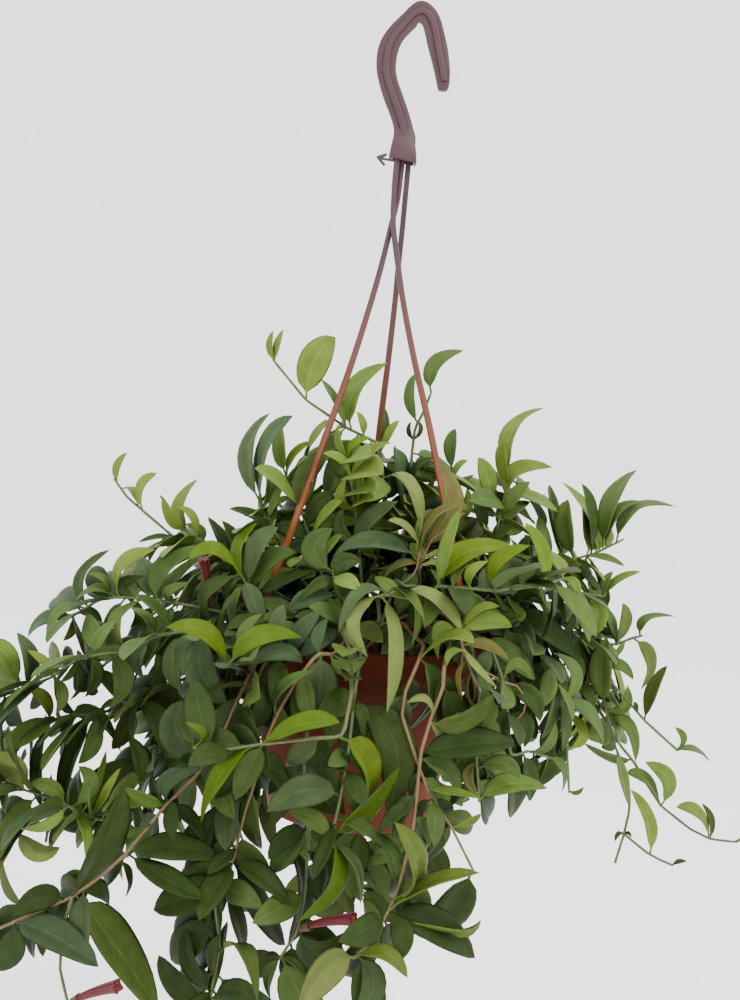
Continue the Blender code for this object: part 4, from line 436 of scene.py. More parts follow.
    ((136, 64), ((262, 668, 98), (240, 740, 118), (228, 800, 126), (224, 860, 132), (215, 905, 138),
                 (220, 945, 140),
                 (210, 1000, 140), (203, 1040, 138)), (
        (210, 1003, 217, 960, 227, 920, 14, L), (219, 955, 246, 950, 258, 1002, 15, M),
        (212, 990, 188, 960, 187, 927, 18, D), (214, 982, 212, 955, 219, 935, 12, D),
        (210, 1008, 178, 985, 158, 955, 24, D), (212, 1000, 242, 990, 262, 1020, 22, D),
        (232, 775, 238, 815, 222, 860, 15, M), (240, 742, 225, 722, 236, 698, 20, G),
        (244, 728, 262, 712, 262, 686, 22, D), (228, 800, 206, 830, 212, 862, 17, D),
        (203, 1040, 190, 1062, 196, 1090, 18, M), (204, 1040, 222, 1058, 224, 1088, 18, D),
        (206, 1025, 180, 1035, 165, 1060, 18, D),
    )),
    # Trail to the left, under the long twig
    ((172, 60), ((232, 655, 20), (190, 705, 42), (150, 770, 62), (122, 818, 80), (98, 820, 86), (68, 806, 88),
                 (45, 796, 88), (24, 790, 88), (-5, 778, 85)), (
        (24, 790, 12, 768, -14, 756, 27, P), (66, 805, 50, 787, 28, 785, 17, M),
        (68, 807, 45, 826, 20, 828, 12, L), (70, 807, 86, 830, 86, 857, 12, L),
        (73, 808, 92, 785, 78, 766, 18, M), (90, 818, 106, 792, 120, 768, 9, L),
        (84, 814, 97, 785, 107, 750, 7, L), (100, 820, 118, 804, 145, 806, 11, L),
        (140, 790, 142, 762, 128, 735, 18, D), (160, 752, 178, 770, 176, 800, 18, D),
        (122, 818, 132, 840, 124, 860, 14, M), (-5, 778, -30, 790, -52, 812, 18, L),
        (-5, 778, -28, 762, -56, 764, 16, M), (130, 805, 150, 800, 168, 812, 12, D),
    )),
    ((185, 58), ((232, 668, 0), (190, 745, 30), (130, 812, 60), (72, 816, 74), (45, 822, 75), (17, 828, 75),
                 (-12, 845, 75), (-45, 865, 70)), (
        (17, 829, 35, 852, 60, 847, 20, P), (-12, 845, -30, 828, -52, 832, 16, L),
        (-12, 846, -22, 868, -48, 884, 16, M), (190, 745, 168, 735, 150, 748, 18, D),
        (178, 760, 200, 775, 205, 800, 18, D), (-45, 865, -68, 872, -84, 895, 14, L),
        (-45, 865, -66, 856, -90, 862, 14, M), (105, 815, 96, 840, 104, 862, 10, M),
    )),
    # Leaves at the left, half way down
    ((176, 50), ((230, 642, 28), (182, 680, 50), (130, 702, 60), (97, 715, 66), (62, 716, 66), (20, 742, 60),
                 (-18, 760, 54)), (
        (68, 715, 98, 716, 122, 753, 15, M), (97, 715, 109, 703, 125, 701, 7, M),
        (55, 720, 26, 733, -5, 753, 22, L), (135, 700, 160, 722, 166, 760, 24, D),
        (130, 702, 126, 728, 112, 750, 20, D), (93, 716, 94, 742, 78, 764, 18, M),
        (182, 680, 165, 700, 160, 728, 20, D), (120, 706, 110, 682, 92, 672, 16, D),
        (-18, 760, -34, 748, -58, 752, 16, L), (-18, 760, -24, 780, -44, 796, 16, M),
        (150, 694, 160, 676, 156, 652, 16, D),
    )),
    # Spray at the upper left
    ((150, 30), ((290, 600, 10), (242, 577, 10), (206, 550, 10), (190, 536, 10), (172, 512, 10),
                 (161, 497, 10)), (
        (189, 535, 177, 508, 198, 478, 13, L), (186, 531, 172, 520, 162, 496, 12, L),
        (197, 542, 194, 518, 178, 506, 9, L), (212, 555, 195, 547, 172, 560, 18, G),
        (238, 575, 226, 545, 208, 516, 14, D), (244, 578, 240, 548, 222, 520, 14, D),
    )),
    ((155, 42), ((280, 602, -10), (230, 568, -15), (200, 551, -15), (176, 539, -15), (142, 510, -15),
                 (127, 497, -15),
                 (115, 480, -15)), (
        (138, 507, 134, 490, 120, 489, 8, L), (144, 511, 141, 486, 157, 473, 9, L),
        (117, 483, 117, 466, 127, 452, 8, L), (178, 540, 160, 536, 138, 542, 5, D),
        (195, 549, 202, 532, 184, 524, 10, M), (182, 543, 172, 556, 156, 566, 12, D),
    )),
    # Dark leaves in the shade behind the right of the rim
    ((15, 64), ((508, 612, 40), (538, 628, 48), (553, 652, 50), (566, 685, 46)), (
        (512, 614, 542, 625, 575, 657, 25, D), (510, 613, 524, 635, 531, 661, 21, G),
        (545, 638, 560, 618, 557, 596, 8, D), (548, 642, 568, 630, 574, 612, 8, D),
        (553, 652, 578, 662, 575, 692, 13, M), (556, 658, 538, 682, 546, 706, 16, D),
        (514, 616, 530, 598, 551, 592, 10, D), (566, 685, 586, 690, 594, 712, 12, D),
    )),
)

# Sprays that the pot hides: seeded, over the back and the far sides, and a few upright at the back
SEED = 11
BACK_TRAILS = 10
BACK_SHOOTS = 2

# Red flower: base and mouth in the usual view, how far before the axis, and the stem it grows beside
BLOOMS = (
    ("bloom_centre", (300, 943, 158), (352, 920, 172), 31),
    ("bloom_left", (214, 607, 50), (204, 562, 58), 24),
    ("bloom_low", (72, 1006, 184), (116, 987, 196), 21),
)

# Twigs that branch off a stem: its number in STEMS, and their course in the usual view
TWIGS = (
    (21, ((74, 896, 166), (62, 930, 172), (60, 970, 178), (68, 1004, 182))),
    (8, ((597, 668, 0), (611, 682, 0), (628, 701, 0), (644, 720, 0), (677, 750, 0))),
    (8, ((616, 748, 0), (627, 778, 0), (630, 795, 0), (629, 812, 0), (624, 834, 0), (618, 853, 0),
    (615, 863, 0))),
    (8, ((624, 834, 0), (646, 852, 0), (658, 859, 0), (672, 865, 0))),
)

# Hook, seen from the front: its outer and inner edges from the tip to the collar, as (x, z) in mm
HOOK_OUTER = (
    (16.8, -44.4), (22.0, -44.1), (23.2, -41.6), (23.3, -33.3), (22.4, -26.3), (20.4, -16.5), (17.3, -6.6),
    (13.9, 2.7), (10.7, 7.8), (6.9, 11.3), (2.6, 13.3), (-1.6, 13.2), (-5.6, 10.7), (-11.8, 3.8),
    (-20.3, -6.0), (-25.1, -14.7), (-26.9, -23.6), (-26.5, -33.1), (-24.1, -42.1), (-19.7, -53.2),
    (-15.1, -62.7), (-12.1, -70.2), (-11.0, -77.9), (-11.0, -85.4),
)
HOOK_INNER = (
    (15.7, -42.9), (11.9, -30.1), (6.7, -15.3), (3.6, -5.3), (1.9, -1.4), (0.2, 0.0), (-0.9, -0.6),
    (-1.9, -3.1), (-6.2, -7.9), (-10.4, -13.6), (-12.9, -21.4), (-13.4, -31.5), (-11.7, -39.3),
    (-7.2, -49.6), (-1.9, -61.7), (1.6, -71.4), (3.5, -76.8), (3.9, -84.0),
)
HOOK_SPINE = (
    (20.0, -38.5), (17.3, -28.2), (13.8, -15.9), (10.2, -2.5), (6.2, 4.6), (1.2, 7.4), (-4.0, 4.6),
    (-9.4, -2.0), (-15.4, -9.8), (-19.0, -18.1), (-20.0, -32.3), (-17.9, -40.7), (-13.5, -51.4),
    (-8.5, -62.3), (-5.4, -71.0), (-3.9, -78.3), (-3.7, -85.5),
)
# Collar, open below: its rings as (z, middle, width, depth) in mm, its slant, and the room inside it
COLLAR_RINGS = ((-70.0, -5.3, 12.6, 5.8), (-78.0, -4.2, 14.4, 10.0), (-85.0, -4.0, 17.0, 15.0),
                (-93.3, -4.0, 19.2, 15.8))
COLLAR_SLANT = 0.155
COLLAR_ROOM = {"x": (-10.5, 3.1), "y": (-6.3, 6.3), "z": (-100.0, -87.0)}
# The tops of the straps in the collar as (x, y), and the arrow at the end of the right one as (x, z)
STRAP_TOPS = {"left": (-4.0, 0.0), "right": (-7.7, -4.2), "back": (0.1, 4.2)}
ARROW = ((-9.5, -94.5), (-9.5, -92.9), (-17.6, -92.3), (-14.6, -90.6), (-15.3, -89.0), (-21.6, -91.6),
         (-22.0, -92.5), (-16.5, -97.9), (-15.2, -96.8), (-18.2, -93.7))
# Middles of the straps in the usual view, from under the collar down
STRAP_LINES = {
    "left": ((400.6, 176), (397.5, 200), (391.5, 224), (381.2, 266), (371.5, 300), (352.5, 360), (324, 440),
             (295, 520)),
    "right": ((395.2, 176), (393.7, 200), (393.2, 224), (398.2, 266), (403, 300), (414.5, 360), (432.5, 440)),
    "back": ((407.3, 176), (405, 200), (402.8, 224), (398.4, 266), (395.2, 300), (388.3, 360), (378.5, 440)),
}
# Stretches of the straps that nothing hides in the usual view: name, first and last y
STRAPS_SEEN = (("left", 200, 574), ("right", 200, 458), ("back", 200, 432))

# What the leaf cover looks like from the front: fill leaves show only inside COVER and outside GAPS, which
# are (x, y, radius) in the usual view
COVER = (
    (248, 520), (246, 470), (258, 425), (300, 436), (330, 424), (365, 444), (400, 438), (430, 456), (470, 470),
    (498, 452), (545, 470), (560, 500), (598, 492), (612, 512), (598, 556), (606, 580), (612, 612),
    (618, 655), (636, 700), (626, 735), (600, 750), (565, 742), (560, 775), (535, 800), (505, 826), (462, 830),
    (434, 848), (428, 880), (455, 902), (470, 945), (430, 940), (405, 962), (378, 985), (378, 1040),
    (160, 1040), (140, 1000), (100, 1000), (60, 960), (20, 960), (-60, 960), (-60, 640), (20, 640),
    (50, 600), (95, 560), (150, 548), (182, 528), (215, 530),
)
GAPS = (
    (265, 770, 12), (200, 770, 9), (330, 850, 8), (290, 870, 9), (170, 690, 8), (560, 600, 9), (30, 872, 26),
    (75, 862, 14), (120, 895, 12), (165, 925, 10), (62, 838, 8), (-20, 900, 30), (385, 610, 22), (425, 745, 20),
    (370, 668, 12), (448, 672, 10),
)

# Old stems: their number in STEMS and how woody they are, from 0 to 1
WOODY = {13: 1.0, 14: 1.0, 16: 0.8, 19: 0.85, 20: 0.6, 21: 1.0, 31: 0.6, 32: 0.55, 33: 0.6, 23: 0.5}
# Stems whose leaves are lit more than the others: their number in STEMS and how much
LIT = {33: 1.9, 34: 1.9, 35: 1.35, 23: 1.2}
# Stretches of old stem that leaves don't hide in the view: number, first and last y
SEEN_BARK = ((13, 655, 800), (14, 655, 830), (21, 770, 935), (19, 655, 740))

# Smaller seen leaves that only the fine model has: number of the stem, and the leaf as in STEMS
EXTRA = (
    (30, (346, 772, 328, 782, 345, 815, 28, D)), (14, (415, 806, 397, 812, 378, 834, 16, D)),
    (30, (336, 820, 362, 826, 384, 846, 15, M)), (30, (352, 712, 336, 722, 330, 750, 22, D)),
    (31, (306, 742, 322, 760, 320, 790, 16, D)), (31, (305, 790, 284, 800, 272, 828, 20, D)),
    (19, (261, 757, 276, 772, 292, 800, 18, D)), (19, (268, 740, 262, 758, 272, 780, 14, D)),
    (13, (424, 778, 438, 792, 434, 822, 13, M)), (14, (416, 794, 402, 808, 397, 838, 16, D)),
    (14, (414, 818, 424, 824, 430, 848, 12, M)), (6, (438, 587, 446, 548, 460, 508, 14, L)),
    (6, (452, 588, 456, 574, 468, 560, 10, M)), (6, (458, 588, 456, 604, 466, 624, 12, D)),
    (31, (306, 806, 322, 806, 337, 816, 13, D)), (30, (349, 756, 361, 764, 367, 784, 13, D)),
    (30, (343, 790, 354, 798, 357, 820, 14, D)), (30, (352, 706, 362, 716, 364, 742, 15, D)),
    (13, (421, 770, 412, 782, 408, 804, 12, D)),
)

# Dry rootlets and leafless twigs, finer than the part's own: number of the stem, and the course
DRY_TWIGS = (
    (17, ((384, 592, 74), (399, 584, 76), (411, 579, 75), (417, 568, 72), (420, 552, 72))),
    (17, ((417, 568, 72), (424, 556, 74), (431, 540, 75), (449, 527, 76), (462, 512, 76), (465, 513, 76))),
    (16, ((470, 666, 116), (476, 690, 118), (471, 710, 118), (474, 722, 117))),
    (16, ((470, 666, 116), (486, 672, 118), (503, 682, 117), (518, 686, 112), (526, 700, 108), (523, 716, 108),
          (511, 722, 108))),
    (16, ((464, 652, 112), (459, 676, 116), (462, 698, 117), (456, 716, 117))),
)
DRY_RADIUS = 0.8 * MM

# Added leaves: how far they may stand out of the part's box, where the first pair stands on its stem, and
# their kinds above BRIGHT_ABOVE or right of BRIGHT_RIGHT in the usual view, lighter as painted light, and
# elsewhere, darker as painted shade
FILL_REACH = 9 * MM
FILL_START = 24 * MM
BRIGHT_ABOVE, BRIGHT_RIGHT = 580, 575
BRIGHT_KINDS = (LIGHT, LIGHT, MIDDLE, MIDDLE, LIGHT)
SHADED_KINDS = (MIDDLE, DARK, DARK, GLOSSY, MIDDLE, DARK)
# Painted light: leaves are painted lighter up and to the right, where the light falls: the rise from (start,
# over what distance), up and to the right, and the tone of a leaf in the shade with what the painted light adds
# to it
LIGHT_UP, LIGHT_RIGHT = (-0.5, 0.12), (0.1, 0.07)
SHADE_TONE, LIGHT_TONE = 0.85, 0.46

# What the spray tree reads at a point of its lines, and each type's field and empty value
POINT_DATA = {
    "centre": "FLOAT_VECTOR", "sideways": "FLOAT_VECTOR", "upwards": "FLOAT_VECTOR", "half": "FLOAT",
    "thick": "FLOAT", "along_leaf": "FLOAT", "curl": "FLOAT", "phase": "FLOAT", "girth": "FLOAT",
    "age": "FLOAT", "is_leaf": "BOOLEAN", "leaf_colour": "FLOAT_COLOR",
}
EMPTY = {"FLOAT_VECTOR": ("vector", (0.0, 0.0, 0.0)), "FLOAT": ("value", (0.0,)),
         "BOOLEAN": ("value", (False,)), "FLOAT_COLOR": ("color", (0.1, 0.2, 0.05, 1.0))}


def view_axes():
    """Forward, right and up of the usual view."""
    forward = Vector((0, math.cos(VIEW_PITCH), math.sin(VIEW_PITCH)))
    level, above = Vector((1, 0, 0)), Vector((0, -math.sin(VIEW_PITCH), math.cos(VIEW_PITCH)))
    c, s = math.cos(VIEW_ROLL), math.sin(VIEW_ROLL)
    return forward, c * level - s * above, s * level + c * above


FORWARD, RIGHT, UP = view_axes()


def at(x, y, ahead):
    """The point seen at (x, y) in the picture, ahead mm before the pot's axis."""
    ray = FORWARD + RIGHT * ((x - VIEW_WIDTH / 2) / VIEW_FOCUS) + UP * ((VIEW_HEIGHT / 2 - y) / VIEW_FOCUS)
    return VIEW_EYE + ray * ((-VIEW_EYE.y - ahead * MM) / ray.y)


def in_view(point):
    """Where the point shows in the picture."""
    d = point - VIEW_EYE
    depth = d.dot(FORWARD)
    return (VIEW_WIDTH / 2 + VIEW_FOCUS * d.dot(RIGHT) / depth,
            VIEW_HEIGHT / 2 - VIEW_FOCUS * d.dot(UP) / depth)


def marked(points, first=-math.inf, last=math.inf):
    """Those of the points that show between two heights of the picture, as (x, y, point)."""
    return [(*in_view(p), p) for p in points if first <= in_view(p)[1] <= last]


def around(azimuth, radius, z):
    """A point about the pot's axis: 0 degrees at +X, 90 to the viewer."""
    a = math.radians(azimuth)
    return Vector((AXIS_X + radius * math.cos(a), -radius * math.sin(a), z))


def azimuth_of(point):
    """Azimuth in degrees of a point about the pot's axis, and its distance from the axis."""
    return math.degrees(math.atan2(-point.y, point.x - AXIS_X)), math.hypot(point.x - AXIS_X, point.y)


def away(azimuth):
    """The level direction away from the pot's axis."""
    a = math.radians(azimuth)
    return Vector((math.cos(a), -math.sin(a), 0))


def bent(a, b, c, t):
    """The point at t on the curve from a to c that bends towards b."""
    return (1 - t) ** 2 * a + 2 * t * (1 - t) * b + t ** 2 * c


def spots_on(lines):
    """Points on the lines, eight steps to each stretch."""
    return [a.lerp(b, k / 8) for line in lines for a, b in zip(line, line[1:]) for k in range(9)]


class Shape:
    """Points and faces, with the material number of each face."""

    def __init__(self, points=(), faces=()):
        self.points, self.faces, self.kinds = list(points), list(faces), [0] * len(faces)

    def add(self, other, kind):
        first = len(self.points)
        self.points += other.points
        self.faces += [tuple(first + i for i in face) for face in other.faces]
        self.kinds += [kind] * len(other.faces)

    def tree(self):
        return BVHTree.FromPolygons([tuple(p) for p in self.points], self.faces)

    def box(self):
        return ([min(p[i] for p in self.points) for i in range(3)],
                [max(p[i] for p in self.points) for i in range(3)])


class Obstacles:
    """What is already placed, so that the next piece keeps clear of it."""

    def __init__(self):
        self.placed = []

    def add(self, owner, shape):
        self.placed.append((owner, *shape.box(), shape.tree()))

    def hit(self, shape, skip=None, only=None):
        """Whether the shape cuts any placed piece, apart from those of the owner to skip."""
        low, high = shape.box()
        tree = None
        for owner, a, b, other in self.placed:
            if owner == skip or (only is not None and owner != only):
                continue
            if any(low[i] > b[i] or a[i] > high[i] for i in range(3)):
                continue
            tree = tree or shape.tree()
            if tree.overlap(other):
                return True
        return False


def sweep(rings):
    """A skin over rings of equal count, with flat ends. Seen from ahead, the rings run anticlockwise."""
    count, points = len(rings[0]), [p for ring in rings for p in ring]
    last = len(points) - count
    faces = [(a + i, a + (i + 1) % count, a + (i + 1) % count + count, a + i + count)
             for a in range(0, last, count) for i in range(count)]
    return Shape(points, faces + [tuple(reversed(range(count))), tuple(range(last, last + count))])


def outward(rings):
    """The rings, turned round where their skin would face inwards."""
    a, b, c = rings[0][:3]
    if (b - a).cross(c - b).dot(rings[1][0] - a) < 0:
        return [ring[::-1] for ring in rings]
    return rings


def frames_along(points):
    """A tangent and two cross directions at each point, turned as little as possible from one to the next."""
    tangents = [(points[min(i + 1, len(points) - 1)] - points[max(i - 1, 0)]).normalized()
                for i in range(len(points))]
    side = tangents[0].orthogonal().normalized()
    frames = []
    for i, t in enumerate(tangents):
        if i:
            side = tangents[i - 1].rotation_difference(t) @ side
        side = (side - t * side.dot(t)).normalized()
        frames.append((t, side, t.cross(side)))
    return frames


def tube(points, radii, sides=3, grow=0.0):
    """A skin round a line of points, grow wider than the radii."""
    rings = []
    for p, r, (_, side, other) in zip(points, radii, frames_along(points)):
        rings.append([p + (r + grow) * (math.cos(2 * math.pi * k / sides) * side
                                        + math.sin(2 * math.pi * k / sides) * other) for k in range(sides)])
    return sweep(rings)


def turned(profile, sides):
    """A solid turned about the pot's axis from a closed profile, from axis to axis."""
    points, starts, faces = [], [], []
    for radius, height in profile:
        starts.append(len(points))
        z = RIM_Z + height * MM
        points += ([around(-360 * k / sides, radius * MM, z) for k in range(sides)] if radius
                   else [Vector((AXIS_X, 0, z))])
    for i, (a, b) in enumerate(zip(starts, starts[1:])):
        for k in range(sides):
            j = (k + 1) % sides
            if profile[i][0] == 0:
                faces.append((a, b + j, b + k))
            elif profile[i + 1][0] == 0:
                faces.append((a + k, a + j, b))
            else:
                faces.append((a + k, a + j, b + j, b + k))
    return Shape(points, faces)


def slots():
    """Places for the stems in the soil, spread as seeds are in a sunflower."""
    return [(137.508 * k % 360, 66 * math.sqrt((k + 0.5) / SLOT_COUNT)) for k in range(SLOT_COUNT)]


def take_slot(free, azimuth, radius):
    """The free place nearest to the wanted one, which is then taken."""
    wanted = around(azimuth, radius * MM, 0)
    best = min(free, key=lambda s: (around(s[0], s[1] * MM, 0) - wanted).length)
    free.remove(best)
    return best


def smooth(points, spacing):
    """Points along a Catmull-Rom curve through these, about spacing apart."""
    ends = [points[0] * 2 - points[1]] + points + [points[-1] * 2 - points[-2]]
    out = [points[0]]
    for i in range(1, len(ends) - 2):
        p = ends[i - 1:i + 3]
        k = [max((p[j + 1] - p[j]).length, 1e-6) ** 0.5 for j in range(3)]
        m1 = (p[1] - p[0]) / k[0] - (p[2] - p[0]) / (k[0] + k[1]) + (p[2] - p[1]) / k[1]
        m2 = (p[2] - p[1]) / k[1] - (p[3] - p[1]) / (k[1] + k[2]) + (p[3] - p[2]) / k[2]
        m1, m2 = m1 * k[1], m2 * k[1]
        steps = max(1, round((p[2] - p[1]).length / spacing))
        for s in range(1, steps + 1):
            t = s / steps
            out.append((2 * t ** 3 - 3 * t ** 2 + 1) * p[1] + (t ** 3 - 2 * t ** 2 + t) * m1
                       + (-2 * t ** 3 + 3 * t ** 2) * p[2] + (t ** 3 - t ** 2) * m2)
    return out


class Stem:
    """A stem's line of points, its thickness along it, and what grows on it."""

    def __init__(self, name, controls, leaves):
        self.name, self.leaves, self.twigs = name, leaves, []
        self.points = smooth(controls, 26 * MM)
        end = (self.points[-1] - self.points[-2]).normalized()
        self.points.append(self.points[-1] + end * 1.5 * MM)
        count = len(self.points) - 1
        self.radii = [STEM_FOOT_RADIUS + (STEM_TIP_RADIUS - STEM_FOOT_RADIUS) * min(1, 1.3 * i / count)
                      for i in range(count)] + [0.7 * MM]

    def shape(self, grow=0.0, start=0):
        return tube(self.points[start:], self.radii[start:], 3, grow)

    def nearest(self, x, y):
        """The point of the stem or its twigs that shows nearest to (x, y), leaving out the foot."""
        return min(spots_on([self.points[1:-1]] + self.twigs), key=lambda p: math.dist(in_view(p), (x, y)))

    def branch(self, course):
        """The points of a twig along the course, from the stem on."""
        return [self.nearest(*course[0][:2])] + [at(*p) for p in course[1:]]


def controls_of(foot, route):
    """The stem's whole course: up out of its pit, over the rim where it has to, and along its route."""
    azimuth, radius = foot
    top = RIM_Z - SOIL_DROP
    points = [around(azimuth, radius * MM, z) for z in (top - PIT_DEPTH + PIT_GAP, top + 12 * MM)]
    side, out = azimuth_of(route[0])
    if out > 80 * MM:
        points.append(around(side, 68 * MM, RIM_Z + 20 * MM))
        if out > 94 * MM or route[0].z < RIM_Z + 12 * MM:
            points.append(around(side, 88 * MM, max(RIM_Z + 15 * MM, route[0].z + 3 * MM)))
    return points + route


def in_soil(shape):
    """Whether the shape reaches down into the soil."""
    top = RIM_Z - SOIL_DROP + 3.2 * MM
    return any(p.z < top and math.hypot(p.x - AXIS_X, p.y) < 75 * MM for p in shape.points)


def place_stem(name, foot, route, leaves, obstacles, chance):
    """The stem on its route, moved nearer or farther in the view where it would touch something."""
    for attempt in range(STEM_TRIES):
        reach = 0.25 * attempt
        turn = chance.uniform(-1, 1) * min(reach, 16) if attempt else 0
        shift = chance.uniform(-1, 1) * reach if attempt else 0
        course = []
        for p in route:
            own = shift + (chance.uniform(-0.5, 0.5) * reach if attempt else 0)
            course.append(p + (VIEW_EYE - p).normalized() * own * MM)
        controls = controls_of(foot, course)
        for i in range(2, len(controls) - len(course)):
            side, out = azimuth_of(controls[i])
            controls[i] = around(side + turn, out, controls[i].z + chance.uniform(0, 0.4) * reach * MM)
        stem = Stem(name, controls, leaves)
        if not in_soil(stem.shape(start=1)) and not obstacles.hit(stem.shape(STEM_CLEARANCE)):
            obstacles.add(name, stem.shape())
            return stem
    raise RuntimeError("no clear course for " + name)


class Leaf:
    """A leaf's midrib, a curve through three points, with the way its upper face looks and its width."""

    def __init__(self, base, middle, tip, normal, width, kind):
        self.base, self.tip, self.normal, self.width, self.kind = base, tip, normal, width, kind
        self.bend = middle * 2 - (base + tip) / 2
        self.length = (middle - base).length + (tip - middle).length
        self.rows = BIG_LEAF if self.length > BIG_LEAF_LENGTH else SMALL_LEAF

    def point(self, t):
        return bent(self.base, self.bend, self.tip, t)

    def frame(self, t):
        """Tangent, upper face's normal and the direction across, at t along the midrib."""
        tangent = ((1 - t) * (self.bend - self.base) + t * (self.tip - self.bend)).normalized()
        normal = (self.normal - tangent * self.normal.dot(tangent)).normalized()
        return tangent, normal, tangent.cross(normal)

    def shape(self):
        """The plain leaf of the part: a keeled blade of few faces."""
        points = [self.base - self.frame(0)[0] * 0.45 * MM]
        for t, share, keel in self.rows:
            _, normal, across = self.frame(t)
            c, half = self.point(t), share * self.width / 2
            points += [c - across * half, c + across * half, c - normal * keel * MM]
        points.append(self.tip)
        faces = [(0, 2, 1), (0, 3, 2), (0, 1, 3)]
        for s in range(len(self.rows) - 1):
            a, b = 3 * s + 1, 3 * s + 4
            faces += [(a, a + 1, b + 1), (a, b + 1, b), (a + 1, a + 2, b + 1), (a + 2, b + 2, b + 1),
                      (a + 2, a, b + 2), (a, b, b + 2)]
        a, tip = 3 * len(self.rows) - 2, len(points) - 1
        return Shape(points, faces + [(a, a + 1, tip), (a + 1, a + 2, tip), (a + 2, a, tip)])

    def room(self, grow, lift, start=0.0):
        """The space that the leaf needs: its blade with grow all round and lift over it."""
        rings = []
        for t, share, keel in ((start, 0, 0.5),) + self.rows + ((1.0, 0, 0),):
            tangent, normal, across = self.frame(max(t, start))
            c, half = self.point(max(t, start)), share * self.width / 2 + grow
            if t == 1:
                c = c + tangent * grow
            rings.append([c - across * half + normal * lift, c - across * half - normal * grow,
                          c - normal * (keel * MM + grow), c + across * half - normal * grow,
                          c + across * half + normal * lift])
        return sweep(rings)


def seen_leaf(stem, spec, lean):
    """A leaf read from the view: its outline there is kept, and lean mm brings its tip nearer the viewer."""
    x0, y0, x1, y1, x2, y2, width, kind = spec
    base = stem.nearest(x0, y0)
    ahead = -base.y / MM
    shift = Vector(in_view(base)) - Vector((x0, y0))
    tip = at(x2, y2, ahead + lean)
    middle = at(x1 + shift.x * 0.4, y1 + shift.y * 0.4, ahead + lean * 0.5)
    chord = (tip - base).normalized()
    toward = (VIEW_EYE - middle).normalized()
    toward = (toward - chord * toward.dot(chord)).normalized()
    length = (tip - base).length
    # a leaf that shows narrow for its length is seen from the side, so it is wider and tilted
    seen = width * (-VIEW_EYE.y / MM - ahead) / VIEW_FOCUS * MM
    full = max(seen, (0.3 if kind == DRIED else 0.36) * length)
    full = min(full, 0.62 * length) if seen < 0.62 * length else seen
    tilt = math.acos(max(math.cos(math.radians(68)), min(1, seen / full)))
    sideways = chord.cross(toward)
    bow = (middle - (base + tip) / 2).dot(sideways)
    if abs(bow) < 0.03 * length:
        bow = sideways.z
    normal = math.cos(tilt) * toward + math.copysign(math.sin(tilt), bow) * sideways
    middle = middle + toward * (0.09 * length * math.cos(tilt))
    return Leaf(base, middle, tip, -normal if kind == PALE else normal, full, kind)


def standing_leaf(point, way, normal, size, kind, arch, breadth):
    """A leaf that leaves its stem that way and faces the normal; arch and breadth are shares of its size."""
    normal = (normal - way * normal.dot(way)).normalized()
    middle = point + way * size * 0.5 + normal * size * arch
    return Leaf(point, middle, point + way * size, normal, size * breadth, kind)


def ruled_leaf(point, along, turn, size, kind, droop):
    """A leaf that stands off the stem by rule: turn is its place round the stem, in radians."""
    out = Matrix.Rotation(turn, 3, along) @ along.orthogonal().normalized()
    way = (out * 0.86 + along * 0.42 + Vector((0, 0, -droop))).normalized()
    return standing_leaf(point, way, along + Vector((0, 0, 0.7)) + out * 0.1, size, kind, 0.1, 0.4)


def fill_leaf(point, along, turn, size, kind, droop):
    """An added leaf: turn is its place round the stem, and its face looks up and away from the pot."""
    out = Matrix.Rotation(turn, 3, along) @ along.orthogonal().normalized()
    way = (out * 0.9 + along * 0.4 + Vector((0, 0, -droop))).normalized()
    outside = Vector((point.x - AXIS_X, point.y, 0)).normalized()
    low = point.z < RIM_Z - 5 * MM
    face = Vector((0, -0.25, 0.3 if low else 0.75)) + outside * (1.0 if low else 0.7) + out * 0.1
    return standing_leaf(point, way, face, size, kind, 0.09, 0.41)


def pairs_along(stem, chance, first, gap, spread, latest=1.0):
    """Where opposite pairs of leaves stand on the stem: (point, way of the stem, turn), each a quarter on."""
    run, wanted, turn = 0.0, first, chance.uniform(0, 3)
    for a, b in zip(stem.points[1:-1], stem.points[2:]):
        step = (b - a).length
        while run + step >= wanted:
            yield a.lerp(b, min(latest, (wanted - run) / step)), (b - a).normalized(), turn
            turn += math.pi / 2
            wanted += gap * chance.uniform(*spread)
        run += step


def ruled_specs(stem, chance):
    """Opposite pairs of leaves up a stem that the view hides."""
    specs = []
    for point, along, turn in pairs_along(stem, chance, 36 * MM, 56 * MM, (0.9, 1.15), 0.97):
        size = chance.uniform(38, 56) * MM
        kind = chance.choice((MIDDLE, DARK, DARK, GLOSSY, LIGHT))
        for side in (0, math.pi):
            specs.append((point, along, turn + side + chance.uniform(-0.2, 0.2),
                          size * chance.uniform(0.9, 1.05), kind, chance.uniform(0.1, 0.4)))
    return specs


def strap_marks():
    """Points of the straps that stay seen, each with its place in the view."""
    marks = []
    for name, first, last in STRAPS_SEEN:
        course = strap_course(name)
        for (a, share), (b, other) in zip(course, course[1:]):
            steps = max(1, round((b - a).length / (5 * MM)))
            for k in range(steps):
                across, _ = strap_axes(name, share + (other - share) * k / steps)
                middle = a.lerp(b, k / steps)
                marks += marked([middle + across * side for side in (-2.2 * MM, 0, 2.2 * MM)], first, last)
    return marks


def hides(shape, marks):
    """Whether the shape stands before a marked point, seen from the front."""
    seen = [in_view(p) for p in shape.points]
    low = [min(p[i] for p in seen) for i in (0, 1)]
    high = [max(p[i] for p in seen) for i in (0, 1)]
    tree = None
    for x, y, point in marks:
        if low[0] <= x <= high[0] and low[1] <= y <= high[1]:
            tree = tree or shape.tree()
            way = point - VIEW_EYE
            if tree.ray_cast(VIEW_EYE, way.normalized(), way.length)[0] is not None:
                return True
    return False


